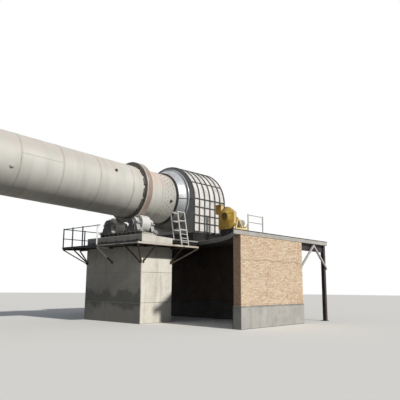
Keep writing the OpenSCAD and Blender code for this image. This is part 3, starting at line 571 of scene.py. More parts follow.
@dataclass(frozen=True)
class Paint:
    """Paint on steel, with dust, rust and rubbed edges, its own tone below, and painted shade on the faces that
    look uphill where asked.
    """

    name: str
    base: Colour
    second: Colour
    rust: Colour = (0.16, 0.062, 0.03)
    dust: Colour = (0.42, 0.38, 0.32)
    bare: Colour = (0.30, 0.28, 0.26)
    rust_cover: float = 0.3
    dust_amount: float = 0.5
    wear: float = 0.5
    runs: float = 0.3
    roughness: float = 0.5
    scale: float = 1.0
    edge: float = 0.008
    gloss: float = 0.5
    under: Colour | None = None
    lee: Colour | None = None

    def build(self) -> Material:
        """Builds the material.

        Returns:
            The material.
        """
        surface = Surface(self.name)
        graph = surface.graph
        colour = graph.mix(surface.mottle(1.3 * self.scale, 0.5, 0.18), self.base, self.second)
        colour = graph.lay(colour, darker(self.second, 0.55), surface.runs(0.05, 0.9, 0.42), self.runs)
        rust = surface.mottle(3.4 * self.scale, self.rust_cover, 0.05)
        colour = graph.lay(colour, self.rust, rust)
        colour = graph.lay(colour, self.bare, surface.wear(self.edge, self.wear))
        dust = surface.dust(self.dust_amount)
        colour = graph.lay(colour, self.dust, dust)
        if self.under:
            colour = graph.lay(colour, self.under, graph.span(graph.facing(2), -0.5, -0.8), 0.85)
        # Painted shade: the faces that look uphill take a darker colour.
        if self.lee:
            colour = graph.lay(colour, self.lee, graph.span(graph.facing(0), -0.35, -0.75), 0.92)
        matt = graph.times(graph.math("MAXIMUM", rust, dust), 0.35)
        rough = graph.math("ADD", self.roughness, matt, clamp=True)
        height = surface.grain(6.0 * self.scale, 70.0 * self.scale, 0.35)
        return surface.close(colour, rough, 0.0, height, 0.0025, self.edge, self.gloss)


@dataclass(frozen=True)
class ShellPaint:
    """Weathered cream grey paint of the turning shell, with painted shade on its underside and, more lightly, over
    its upper side.
    """

    name: str
    place: Tree
    base: Colour = (0.67, 0.67, 0.635)
    warm: Colour = (0.68, 0.565, 0.505)
    green: Colour = (0.565, 0.58, 0.53)
    pink: Colour = (0.64, 0.48, 0.42)
    grey: Colour = (0.36, 0.365, 0.335)
    # Colour of the painted shade over the upper side of the shell.
    crown: Colour = (0.40, 0.39, 0.36)
    # Used for the painted shade on the underside and also for streaks and seam stains.
    dark: Colour = (0.255, 0.25, 0.235)
    rust: Colour = (0.36, 0.22, 0.16)
    seam_start: float = -0.825
    seam_pitch: float = 1.825

    def build(self) -> Material:
        """Builds the material.

        Returns:
            The material.
        """
        surface = Surface(self.name)
        graph = surface.graph
        ring, along = surface.group(self.place, "Ring"), surface.group(self.place, "Along")
        stretched = graph.vector("MULTIPLY", ring, (1.5, 0.9, 0.9))
        bands = graph.vector("MULTIPLY", ring, (5.0, 0.5, 0.5))
        up = graph.part(ring, 2)
        colour = graph.mix(surface.mottle(0.9, 0.5, 0.25, stretched), self.base, self.green)
        top = graph.scaled(graph.span(up, 0.1, 0.95), 0.7, 0.15)
        colour = graph.lay(colour, self.warm, graph.times(surface.mottle(0.7, 0.55, 0.2, stretched), top))
        past_tyre = graph.math("ABSOLUTE", graph.math("SUBTRACT", along, 0.75))
        patches = graph.scaled(surface.mottle(1.6, 0.55, 0.2), 0.5, 0.3)
        colour = graph.lay(colour, self.pink, graph.times(
            graph.span(past_tyre, 0.8, 0.3), patches, graph.span(up, -0.1, 0.6)))
        patches = graph.scaled(surface.mottle(1.9, 0.5, 0.25), 0.4, 0.3)
        colour = graph.lay(colour, self.grey, graph.times(
            graph.span(along, 0.8, 1.6), graph.span(up, -0.8, -0.4), patches, graph.span(up, 0.9, 0.4)))
        # Painted shade on the underside, patchy and weaker toward the hood.
        patches = graph.scaled(surface.mottle(0.8, 0.5, 0.3, stretched), 0.4, 0.14)
        colour = graph.lay(colour, self.dark, graph.times(
            graph.span(up, -0.2, -0.85), patches, graph.span(along, 0.2, 0.9, 1.0, 0.3)))
        # Painted shade over the upper side, from a little above the axis up, stronger uphill.
        colour = graph.lay(colour, self.crown, graph.times(
            graph.span(up, 0.15, 0.6), graph.span(along, 0.0, -3.0, 0.2, 0.5)))
        streak = surface.mottle(1.0, 0.4, 0.1, bands)
        colour = graph.lay(colour, self.dark, streak, 0.16)
        off = graph.off_step(along, self.seam_start, self.seam_pitch)
        stained = graph.times(graph.span(off, 0.05, 0.004), surface.mottle(2.0, 0.55, 0.2, stretched))
        colour = graph.lay(colour, self.dark, stained, 0.35)
        colour = graph.lay(colour, self.rust, surface.mottle(7.0, 0.3, 0.05), 0.3)
        rough = graph.span(streak, 0.0, 1.0, 0.5, 0.68)
        return surface.close(colour, rough, 0.0, surface.grain(2.0, 40.0, 0.12), 0.006)


@dataclass(frozen=True)
class TurnedSteel:
    """Steel that rolls on steel, with marks that run round it."""

    name: str
    base: Colour
    dark: Colour
    rust: Colour
    place: Tree | None = None
    side: Colour | None = None
    worn: Colour = (0.76, 0.70, 0.65)
    pitch: float = 16.5
    half_width: float = 0.18
    rust_cover: float = 0.4
    roughness: float = 0.38
    metallic: float = 0.6

    def build(self) -> Material:
        """Builds the material.

        Returns:
            The material.
        """
        surface = Surface(self.name)
        graph = surface.graph
        ring = surface.group(self.place, "Ring") if self.place else surface.coords
        bands = graph.vector("MULTIPLY", ring, (30.0, 0.5, 0.5))
        colour = graph.mix(surface.mottle(1.0, 0.5, 0.2, bands), self.base, self.dark)
        rust = surface.mottle(2.6, self.rust_cover, 0.12)
        colour = graph.lay(colour, self.rust, rust, 0.7)
        if self.side:
            colour = self._sides(surface, colour)
        colour = graph.lay(colour, darker(self.dark, 0.5), surface.mottle(11.0, 0.34, 0.06), 0.35)
        rough = graph.math("ADD", self.roughness, graph.times(rust, 0.3), clamp=True)
        return surface.close(colour, rough, self.metallic, surface.grain(8.0, 90.0, 0.4), 0.002, 0.008)

    def _sides(self, surface: Surface, colour: Socket) -> Socket:
        """Lays the sides' tone and the pale edges, partly worn bright and partly a painted highlight, over a
        colour.

        Args:
            surface: The surface.
            colour: The colour so far.

        Returns:
            The new colour's socket.
        """
        graph = surface.graph
        off = graph.times(graph.off_step(surface.group(self.place, "Along"), 0.0, self.pitch), self.pitch)
        # Pale edges of the tread: partly wear, partly painted highlight.
        edge = graph.span(off, self.half_width - 0.05, self.half_width - 0.03)
        colour = graph.lay(colour, self.worn, edge, 0.85)
        side = graph.mix(surface.mottle(2.0, 0.5, 0.2), self.side, darker(self.side, 0.6))
        return graph.lay(colour, side, graph.span(graph.math("ABSOLUTE", graph.facing(0)), 0.6, 0.8))


@dataclass(frozen=True)
class Concrete:
    """Cast concrete with lift joints, board marks and water stains, and painted shade and a painted shadow band on
    the side that faces uphill.
    """

    name: str
    base: Colour
    pale: Colour
    stain: Colour
    runs: float = 0.6
    lift: float = 1.3
    lift_from: float = 0.87
    board: float = 0.145
    # Painted shade on the faces that look uphill: its strength and its colour.
    uphill_shade: float = 0.0
    uphill_shade_colour: Colour = (0.15, 0.15, 0.14)
    # Height under which a jagged, nearly black painted shadow falls on the uphill faces, and its colour.
    foot: float = 0.0
    shadow_band_colour: Colour = (0.03, 0.03, 0.032)
    # Whether painted shade darkens it inside the room under the platform.
    room_shaded: bool = False
    roughness: float = 0.88

    def build(self) -> Material:
        """Builds the material.

        Returns:
            The material.
        """
        surface = Surface(self.name)
        graph = surface.graph
        colour = graph.mix(surface.mottle(0.7, 0.5, 0.25), self.base, self.pale)
        colour = graph.lay(colour, self.stain, surface.mottle(3.2, 0.42, 0.15), 0.3)
        colour = graph.lay(colour, self.stain, surface.runs(0.30, 2.6, 0.45), 0.6 * self.runs)
        colour = graph.lay(colour, darker(self.stain, 0.6), surface.runs(0.05, 1.0, 0.36), 0.25 * self.runs)
        # Painted shade on the faces that look uphill.
        if self.uphill_shade:
            colour = graph.lay(colour, self.uphill_shade_colour, self._uphill_shade(surface))
        # Painted shadow: a jagged, nearly black band low on the uphill faces.
        if self.foot:
            below = graph.span(surface.level(4.0, 0.3, 5.0, 0.7), self.foot + 0.02, self.foot - 0.02)
            colour = graph.lay(colour, self.shadow_band_colour, graph.times(below, surface.uphill()), 0.85)
        height_z = graph.part(surface.coords, 2)
        joint = graph.span(graph.off_step(height_z, self.lift_from, self.lift), 0.012, 0.003)
        patches = graph.scaled(surface.mottle(2.2, 0.6, 0.2), 0.4, 0.25)
        colour = graph.lay(colour, darker(self.stain, 0.45), graph.times(joint, patches))
        board = graph.span(graph.off_step(height_z, 0.0, self.board), 0.04, 0.005)
        colour = graph.lay(colour, self.pale, surface.wear(0.03, 0.7))
        # Painted shade inside the room under the platform.
        if self.room_shaded:
            colour = surface.soot(colour)
        marks = graph.math("MAXIMUM", joint, graph.times(board, 0.25))
        height = graph.math("SUBTRACT", surface.grain(3.5, 45.0, 0.35), graph.times(marks, 0.5))
        return surface.close(colour, self.roughness, 0.0, height, 0.010, 0.02)

    def _uphill_shade(self, surface: Surface) -> Socket:
        """Gives the mask of the painted shade on the side that faces uphill, darker lower down and with a wavy
        band.

        Args:
            surface: The surface.

        Returns:
            The mask's socket.
        """
        graph = surface.graph
        level = surface.level(1.1, 1.6, 5.0, 0.6)
        lower_down = graph.span(level, 2.8, 0.9)
        mark = graph.times(graph.span(level, 1.45, 1.25), graph.span(level, 0.55, 0.8))
        both = graph.scaled(mark, 0.3, graph.scaled(lower_down, 0.4, 0.2))
        shade_share = graph.times(surface.uphill(), graph.scaled(both, 0.7, 0.25))
        return graph.math("MULTIPLY", shade_share, self.uphill_shade, clamp=True)


@dataclass(frozen=True)
class BrickFace:
    """Fired brick whose tone changes from brick to brick."""

    name: str
    light: Colour = (0.77, 0.575, 0.40)
    dark: Colour = (0.51, 0.33, 0.21)
    pale: Colour = (0.84, 0.73, 0.585)
    grimy: Colour = (0.24, 0.18, 0.13)
    shaded: Colour = (0.31, 0.155, 0.09)
    crack: Colour = (0.16, 0.11, 0.08)
    crack_height: float = 2.62

    def build(self) -> Material:
        """Builds the material.

        Returns:
            The material.
        """
        surface = Surface(self.name)
        graph = surface.graph
        own = graph.add("ShaderNodeAttribute", attribute_name="tone", attribute_type="GEOMETRY")
        speck = graph.noise(graph.vector("MULTIPLY", surface.coords, (1.0, 1.0, 1.7)), 8.5, 2.0, 0.7)
        tone = graph.math("ADD", graph.times(own.outputs["Fac"], 0.45), graph.span(speck, 0.3, 0.72, -0.05, 0.6))
        colour = graph.mix(graph.span(tone, 0.42, 0.9), self.light, self.dark)
        colour = graph.lay(colour, self.pale, graph.span(tone, 0.34, 0.12))
        colour = graph.lay(colour, self.pale, surface.mottle(0.55, 0.5, 0.25), 0.3)
        colour = graph.lay(colour, self.grimy, surface.runs(0.5, 1.6, 0.36), 0.22)
        off = graph.math("SUBTRACT", surface.level(1.5, 0.3, 5.0), self.crack_height)
        colour = graph.lay(colour, self.crack, graph.span(graph.math("ABSOLUTE", off), 0.03, 0.012), 0.5)
        colour = graph.lay(colour, self.shaded, surface.uphill(), 0.75)
        colour = graph.lay(colour, self.dark, surface.mottle(26.0, 0.42, 0.06), 0.35)
        # Painted shade inside the room under the platform.
        return surface.close(surface.soot(colour), 0.9, 0.0, surface.grain(18.0, 110.0, 0.5), 0.004)


@dataclass(frozen=True)
class Sheet:
    """Thin galvanised or white coated sheet, with painted shade and soot low down where asked."""

    name: str
    base: Colour
    second: Colour
    dirt: Colour
    dust: Colour = (0.62, 0.59, 0.53)
    shade_and_soot_colour: Colour = (0.075, 0.07, 0.065)
    metallic: float = 0.0
    roughness: float = 0.35
    spangle: float = 0.0
    dirt_amount: float = 0.5
    dirt_cover: float = 0.45
    # Heights over which the sheet turns to painted shade with soot, going down.
    soot: tuple[float, float] | None = None

    def build(self) -> Material:
        """Builds the material.

        Returns:
            The material.
        """
        surface = Surface(self.name)
        graph = surface.graph
        colour = graph.mix(surface.mottle(1.1, 0.5, 0.2), self.base, self.second)
        if self.spangle:
            cells = graph.add("ShaderNodeTexVoronoi", {"Vector": surface.coords, "Scale": 26.0})
            tone = graph.out("ShaderNodeSeparateColor", {0: cells.outputs["Color"]})
            colour = graph.lay(colour, darker(self.base, 0.62), tone, self.spangle)
        dirt = surface.mottle(2.1, self.dirt_cover, 0.12)
        colour = graph.lay(colour, self.dirt, dirt, self.dirt_amount)
        colour = graph.lay(colour, self.dirt, surface.runs(0.05, 0.8, 0.45), 0.7 * self.dirt_amount)
        colour = graph.lay(colour, self.dust, surface.dust(0.25))
        metallic = self.metallic
        # Painted shade with soot low down, where the metal sheen is also taken away.
        if self.soot:
            low = graph.span(surface.level(2.2, 0.5), *self.soot)
            colour = graph.lay(colour, self.shade_and_soot_colour, low, 0.9)
            metallic = graph.span(low, 0.0, 1.0, self.metallic, 0.0)
        rough = graph.math("ADD", self.roughness, graph.times(dirt, 0.3), clamp=True)
        return surface.close(colour, rough, metallic, surface.grain(1.7, 30.0, 0.06), 0.01, 0.006)


# ---------------------------------------------------------------------------
# Geometry Nodes


def geometry_tree(name: str, inputs: dict[str, Any], fill: Fill) -> Tree:
    """Builds a Geometry Nodes tree once. It ends in Realize Instances and Set Material.

    Args:
        name: The tree's name.
        inputs: Default of each input beside Geometry and Material.
        fill: Makes the nodes and returns the geometry's socket.

    Returns:
        The tree.
    """
    tree = bpy.data.node_groups.get(name)
    if tree:
        return tree
    tree = bpy.data.node_groups.new(name, "GeometryNodeTree")
    tree.interface.new_socket("Geometry", in_out="INPUT", socket_type=GEOMETRY)
    take_inputs(tree, inputs)
    tree.interface.new_socket("Material", in_out="INPUT", socket_type="NodeSocketMaterial")
    tree.interface.new_socket("Geometry", in_out="OUTPUT", socket_type=GEOMETRY)
    graph = Graph(tree)
    *sockets, material = entries(graph)
    real = graph.shape("RealizeInstances", Geometry=fill(graph, sockets))
    graph.add("NodeGroupOutput", {0: graph.shape("SetMaterial", Geometry=real, Material=material)})
    return tree


def grow(name: str, tree: Tree, material: Material, values: dict[str, Any], base: Mesh | None = None,
         places: Iterable[Matrix] = (Matrix.Identity(4),)) -> Piece:
    """Runs a tree on a new object and keeps the result as a plain mesh.

    Args:
        name: Name of the object.
        tree: The Geometry Nodes tree.
        material: The material that the tree sets.
        values: Values of the tree's inputs by name.
        base: A mesh that the tree starts from.
        places: Where each copy of the result goes.

    Returns:
        The object, with its place in its mesh.
    """
    piece = add_object(name, base or bpy.data.meshes.new(name))
    modifier = piece.modifiers.new("shape", "NODES")
    modifier.node_group = tree
    values = {"Material": material, **values}
    for item in tree.interface.items_tree:
        if item.item_type == "SOCKET" and item.in_out == "INPUT" and item.name in values:
            modifier[item.identifier] = values[item.name]
    graph = bpy.context.evaluated_depsgraph_get()
    shape = bpy.data.meshes.new_from_object(piece.evaluated_get(graph), depsgraph=graph)
    piece.modifiers.remove(modifier)
    merged = bmesh.new()
    for place in places:
        copy = shape.copy()
        copy.transform(place)
        if place.determinant() < 0:
            copy.flip_normals()
        merged.from_mesh(copy)
        bpy.data.meshes.remove(copy)
    merged.to_mesh(shape)
    merged.free()
    piece.data = shape
    shape.name = name
    return piece


def bolt_shape(graph: Graph, size: Socket) -> Socket:
    """Adds a bolt head on its washer, standing on Z = 0.

    Args:
        graph: The tree's graph.
        size: The head's radius.

    Returns:
        The geometry's socket.
    """
    head = graph.shape("MeshCylinder", Vertices=6, Radius=size, Depth=graph.times(size, 1.1))
    lifted = graph.shape("Transform", Geometry=head, Translation=graph.point(z=graph.times(size, 0.65)))
    washer = graph.shape("MeshCylinder", Vertices=10, Radius=graph.times(size, 1.4),
                         Depth=graph.times(size, 0.35))
    return graph.join(lifted, washer)


def bolt_ring_tree() -> Tree:
    """Builds the tree of bolts on a circle round Z, with heads along Z or outward.

    Returns:
        The tree, with inputs Count, Radius, Size and Outward.
    """
    def fill(graph: Graph, inputs: list[Socket]) -> Socket:
        _, count, radius, size, outward = inputs
        circle = graph.shape("MeshCircle", Vertices=count, Radius=radius)
        aims = {0: outward, 4: UP, 5: graph.outward()}
        aim = graph.add("ShaderNodeMix", aims, data_type="VECTOR").outputs[1]
        return graph.scatter(circle, bolt_shape(graph, size), Rotation=graph.aimed(aim))

    return geometry_tree("Bolt ring", {"Count": 8, "Radius": 0.3, "Size": 0.02, "Outward": 0.0}, fill)


def bolt_path_tree() -> Tree:
    """Builds the tree of bolts along a path, with heads along the path's aim attribute.

    Returns:
        The tree, with inputs Spacing and Size.
    """
    def fill(graph: Graph, inputs: list[Socket]) -> Socket:
        path, spacing, size = inputs
        aim = graph.out("GeometryNodeInputNamedAttribute", {"Name": "aim"}, data_type="FLOAT_VECTOR")
        places = graph.steps(path, spacing)
        return graph.scatter(places, bolt_shape(graph, size), Rotation=graph.aimed(aim))

    return geometry_tree("Bolts on path", {"Spacing": 0.2, "Size": 0.02}, fill)


def bead_tree() -> Tree:
    """Builds the tree of a weld bead or a bar along a path.

    Returns:
        The tree, with inputs Step, Radius, Ripple and Sides.
    """
    def fill(graph: Graph, inputs: list[Socket]) -> Socket:
        path, step, radius, ripple, sides = inputs
        width = graph.shape("SetCurveRadius", Curve=graph.steps(path, step),
                            Radius=graph.math("SUBTRACT", 1.0, graph.random(7, ripple)))
        profile = graph.shape("CurvePrimitiveCircle", Resolution=sides, Radius=radius)
        sockets = {"Curve": width, "Profile Curve": profile, "Fill Caps": True}
        swept = graph.add("GeometryNodeCurveToMesh", sockets)
        if "Scale" in swept.inputs:
            graph.tree.links.new(graph.shape("InputRadius"), swept.inputs["Scale"])
        return swept.outputs[0]

    return geometry_tree("Bead", {"Step": 0.05, "Radius": 0.01, "Ripple": 0.3, "Sides": 6}, fill)


def fin_ring_tree() -> Tree:
    """Builds the tree of fins that stand round the Z axis.

    Returns:
        The tree, with inputs Count, Radius and Fin.
    """
    def fill(graph: Graph, inputs: list[Socket]) -> Socket:
        _, count, radius, fin = inputs
        circle = graph.shape("MeshCircle", Vertices=count, Radius=radius)
        turn = graph.aimed(graph.outward(), "X", pivot_axis="Z")
        return graph.scatter(circle, graph.shape("MeshCube", Size=fin), Rotation=turn)

    return geometry_tree("Fin ring", {"Count": 24, "Radius": 0.2, "Fin": (0.03, 0.006, 0.3)}, fill)


def guard_tree() -> Tree:
    """Builds the tree of a round wire guard of rings and spokes about Z.

    Returns:
        The tree, with inputs Rings, Spokes, Radius and Wire.
    """
    def fill(graph: Graph, inputs: list[Socket]) -> Socket:
        _, rings, spokes, radius, wire = inputs
        row = graph.shape("MeshLine", Count=rings, Offset=(0.0, 0.0, 0.0))
        share = graph.math("DIVIDE", graph.math("ADD", graph.shape("InputIndex"), 1.0), rings)
        ring = graph.shape("CurvePrimitiveCircle", Resolution=40, Radius=radius)
        real = graph.shape("RealizeInstances", Geometry=graph.scatter(
            row, ring, Scale=graph.point(share, share, 1.0)))
        profile = graph.shape("CurvePrimitiveCircle", Resolution=6, Radius=wire)
        wires = graph.out("GeometryNodeCurveToMesh", {"Curve": real, "Profile Curve": profile})
        circle = graph.shape("MeshCircle", Vertices=spokes, Radius=graph.times(radius, 0.5))
        spoke = graph.shape("MeshCylinder", Vertices=6, Radius=wire, Depth=radius)
        return graph.join(wires, graph.scatter(circle, spoke, Rotation=graph.aimed(graph.outward())))

    return geometry_tree("Guard", {"Rings": 5, "Spokes": 8, "Radius": 0.2, "Wire": 0.004}, fill)


def brick_tree() -> Tree:
    """Builds the tree of a brick wall's face in running bond, in the XZ plane and facing -Y.

    Returns:
        The tree, with inputs Columns, Rows, Length, Height, Joint, Relief and Seed.
    """
    def fill(graph: Graph, inputs: list[Socket]) -> Socket:
        _, columns, rows, length, height, joint, relief, seed = inputs
        slots = graph.math("ADD", columns, 1.0)
        points = graph.shape("MeshLine", Count=graph.times(slots, rows), Offset=(0.0, 0.0, 0.0))
        index = graph.shape("InputIndex")
        row = graph.math("FLOOR", graph.math("DIVIDE", graph.math("ADD", index, 0.5), slots))
        column = graph.math("SUBTRACT", index, graph.times(row, slots))
        odd = graph.math("MODULO", row, 2.0)
        at_end = graph.math("GREATER_THAN", column, graph.math("SUBTRACT", columns, 0.5))
        first, last = graph.times(odd, graph.math("LESS_THAN", column, 0.5)), graph.times(odd, at_end)
        spare = graph.times(graph.math("SUBTRACT", 1.0, odd), at_end)
        shift = graph.scaled(odd, -0.5, graph.times(graph.math("SUBTRACT", first, last), 0.25))
        middle = graph.math("ADD", graph.math("ADD", column, 0.5), shift)
        jitter = graph.out("FunctionNodeRandomValue", {0: (-0.003, 0.0, -0.0015), 1: (0.003, 0.003, 0.0015),
                                                       "ID": index, "Seed": seed}, data_type="FLOAT_VECTOR")
        place = graph.point(x=graph.times(middle, length), z=graph.times(graph.math("ADD", row, 0.5), height))
        moved = graph.shape("SetPosition", Geometry=points, Position=graph.vector("ADD", place, jitter))
        cut = graph.scaled(graph.math("ADD", first, last), -0.5, 1.0)
        size = graph.point(graph.math("SUBTRACT", graph.times(length, cut), joint), relief,
                           graph.math("SUBTRACT", height, joint))
        bricks = graph.scatter(moved, graph.shape("MeshCube", Size=(1.0, 1.0, 1.0)), Scale=size,
                               Selection=graph.math("LESS_THAN", spare, 0.5))
        tone = {"Geometry": bricks, "Name": "tone", "Value": graph.random(seed, 1.0)}
        return graph.out("GeometryNodeStoreNamedAttribute", tone, data_type="FLOAT", domain="INSTANCE")

    return geometry_tree("Bricks", {"Columns": 18, "Rows": 40, "Length": 0.25, "Height": 0.065,
                                    "Joint": 0.011, "Relief": 0.02, "Seed": 1}, fill)


# ---------------------------------------------------------------------------
# Mesh code


def add_object(name: str, data: Any) -> Piece:
    """Makes an object of a mesh, camera or light in the scene."""
    made = bpy.data.objects.new(name, data)
    bpy.context.scene.collection.objects.link(made)
    return made


def round_edges(mesh: bmesh.types.BMesh, width: float, angle: float, **settings: Any) -> None:
    """Bevels the edges of a mesh that are sharper than an angle.

    Args:
        mesh: The mesh.
        width: Width of the bevel.
        angle: The angle in degrees.
        settings: Other settings of the bevel.
    """
    sharp = [edge for edge in mesh.edges
             if len(edge.link_faces) == 2 and edge.calc_face_angle(0.0) > math.radians(angle)]
    bmesh.ops.bevel(mesh, geom=sharp, offset=width, affect="EDGES", clamp_overlap=True, **settings)


class Builder:
    """Collects solids in one mesh."""

    def __init__(self) -> None:
        """Starts an empty mesh."""
        self.mesh = bmesh.new()

    def box(self, low: Point, high: Point, turn: Matrix | None = None) -> None:
        """Adds a box.

        Args:
            low: Its lowest corner.
            high: Its highest corner.
            turn: A matrix that the box is moved by.
        """
        centre = (Vector(low) + Vector(high)) / 2
        size = Vector(high) - Vector(low)
        place = Matrix.Translation(centre) @ Matrix.Diagonal((*size, 1.0))
        bmesh.ops.create_cube(self.mesh, size=1.0, matrix=(turn or Matrix.Identity(4)) @ place)

    def rod(self, start: Point, end: Point, radius: float, sides: int = 24) -> None:
        """Adds a cylinder between two points.

        Args:
            start: Centre of its first end.
            end: Centre of its second end.
            radius: Its radius.
            sides: Its number of sides.
        """
        axis = Vector(end) - Vector(start)
        turn = axis.to_track_quat("Z", "Y").to_matrix().to_4x4()
        place = Matrix.Translation((Vector(start) + Vector(end)) / 2) @ turn
        bmesh.ops.create_cone(self.mesh, cap_ends=True, segments=sides, radius1=radius, radius2=radius,
                              depth=axis.length, matrix=place)

    def peg(self, place: Matrix, low: float, high: float, radius: float, sides: int = 24) -> None:
        """Adds a cylinder along a place's Z axis.

        Args:
            place: The place.
            low: Where the cylinder starts.
            high: Where it ends.
            radius: Its radius.
            sides: Its number of sides.
        """
        self.rod(place @ Vector((0, 0, low)), place @ Vector((0, 0, high)), radius, sides)

    def loft(self, rings: Sequence[Sequence[Point]]) -> None:
        """Joins closed outlines of equal length into a solid.

        Args:
            rings: The outlines' points.
        """
        made = [[self.mesh.verts.new(point) for point in ring] for ring in rings]
        for first, second in zip(made, made[1:]):
            for index in range(len(first)):
                after = (index + 1) % len(first)
                self.mesh.faces.new((first[index], first[after], second[after], second[index]))
        self.mesh.faces.new(made[0])
        self.mesh.faces.new(made[-1])

    def turned(self, profile: Sequence[tuple[float, float]], place: Matrix, sides: int = 64,
               closed: bool = True) -> None:
        """Turns a profile of radius and height about Z.

        Args:
            profile: The profile's points.
            place: Where the turned form goes.
            sides: Its number of sides.
            closed: Whether the profile's last point joins its first.
        """
        rings = []
        for step in range(sides):
            angle = 2 * math.pi * step / sides
            rings.append([self.mesh.verts.new(place @ Vector((r * math.cos(angle), r * math.sin(angle), z)))
                          for r, z in profile])
        last = len(profile) if closed else len(profile) - 1
        for step in range(sides):
            first, second = rings[step], rings[(step + 1) % sides]
            for index in range(last):
                after = (index + 1) % len(profile)
                self.mesh.faces.new((first[index], second[index], second[after], first[after]))

    def done(self, name: str, material: Material, bevel: float = 0.0,
             smooth: float = 35.0) -> Piece:
        """Makes the object.

        Args:
            name: Its name.
            material: Its material.
            bevel: Width of its edges' bevel.
            smooth: Largest angle in degrees that is shaded smooth.

        Returns:
            The object.
        """
        bmesh.ops.remove_doubles(self.mesh, verts=self.mesh.verts, dist=1e-6)
        bmesh.ops.recalc_face_normals(self.mesh, faces=self.mesh.faces)
        if bevel:
            round_edges(self.mesh, bevel, smooth, segments=2, profile=0.6)
        shape = bpy.data.meshes.new(name)
        self.mesh.to_mesh(shape)
        self.mesh.free()
        shape.materials.append(material)
        shade(shape, smooth)
        return add_object(name, shape)


def shade(shape: Mesh, angle: float) -> None:
    """Shades a mesh smooth up to an angle in degrees."""
    for face in shape.polygons:
        face.use_smooth = True
    shape.set_sharp_from_angle(angle=math.radians(angle))


def path_mesh(name: str, lines: Sequence[Sequence[Point]], closed: bool = False,
              aims: Sequence[Sequence[Point]] | None = None) -> Mesh:
    """Makes a mesh of edges that a tree can follow.

    Args:
        name: The mesh's name.
        lines: The points of each line.
        closed: Whether each line joins its ends.
        aims: A direction for each point, kept in the attribute aim.

    Returns:
        The mesh.
    """
    points: list[Point] = []
    edges: list[tuple[int, int]] = []
    for line in lines:
        start = len(points)
        points.extend(line)
        edges.extend((start + i, start + i + 1) for i in range(len(line) - 1))
        if closed:
            edges.append((len(points) - 1, start))
    shape = bpy.data.meshes.new(name)
    shape.from_pydata([tuple(p) for p in points], edges, [])
    if aims:
        layer = shape.attributes.new("aim", "FLOAT_VECTOR", "POINT")
        flat = [c for line in aims for aim in line for c in aim]
        layer.data.foreach_set("vector", flat)
    return shape


def settle(piece: Piece, body: Body, slot: str, *replaced: str) -> Piece:
    """Puts a finished piece on its body and reports it.

    Args:
        piece: The piece.
        body: The body that it rides on.
        slot: The record's material slot; not used.
        replaced: CAD nodes that it stands for.

    Returns:
        The piece.
    """
    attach(piece, body.value)
    if replaced:
        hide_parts(*replaced)
    LOG.info("%s: %d faces on %s", piece.name, len(piece.data.polygons), body.value)
    return piece


# ---------------------------------------------------------------------------
# What the sub-assemblies share


TO_X = Matrix.Rotation(math.radians(90), 4, "Y")


def bolt_row(foot: Vector) -> tuple[Point, Point, Point]:
    """Gives the row of a single bolt that points up."""
    return foot, foot + Vector((0.0001, 0.0, 0.0)), UP


def circle_points(radius: float, count: int, place: Matrix) -> list[Point]:
    """Gives points on a circle about a place's X axis.

    Args:
        radius: The circle's radius.
        count: The number of points.
        place: Where the circle's centre and axis are.

    Returns:
        The points.
    """
    turns = (2 * math.pi * step / count for step in range(count))
    return [place @ Vector((0.0, radius * math.sin(turn), radius * math.cos(turn))) for turn in turns]


@dataclass(frozen=True)
class KilnLine:
    """The kiln's sloping axis."""

    slope: float = math.radians(2.07)
    axis_height: float = 6.05

    def at(self, along: float, across: float = 0.0, above: float = 0.0) -> Matrix:
        """Gives the frame of a place beside the axis.

        Args:
            along: Distance along the axis.
            across: Distance toward +Y.
            above: Distance from the axis, square to it.

        Returns:
            The frame, with its X axis along the kiln.
        """
        return (Matrix.Translation((0.0, 0.0, self.axis_height)) @ Matrix.Rotation(self.slope, 4, "Y")
                @ Matrix.Translation((along, across, above)))

    def height(self, x: float) -> float:
        """Gives the axis's height above a place."""
        return self.axis_height - x * math.tan(self.slope)


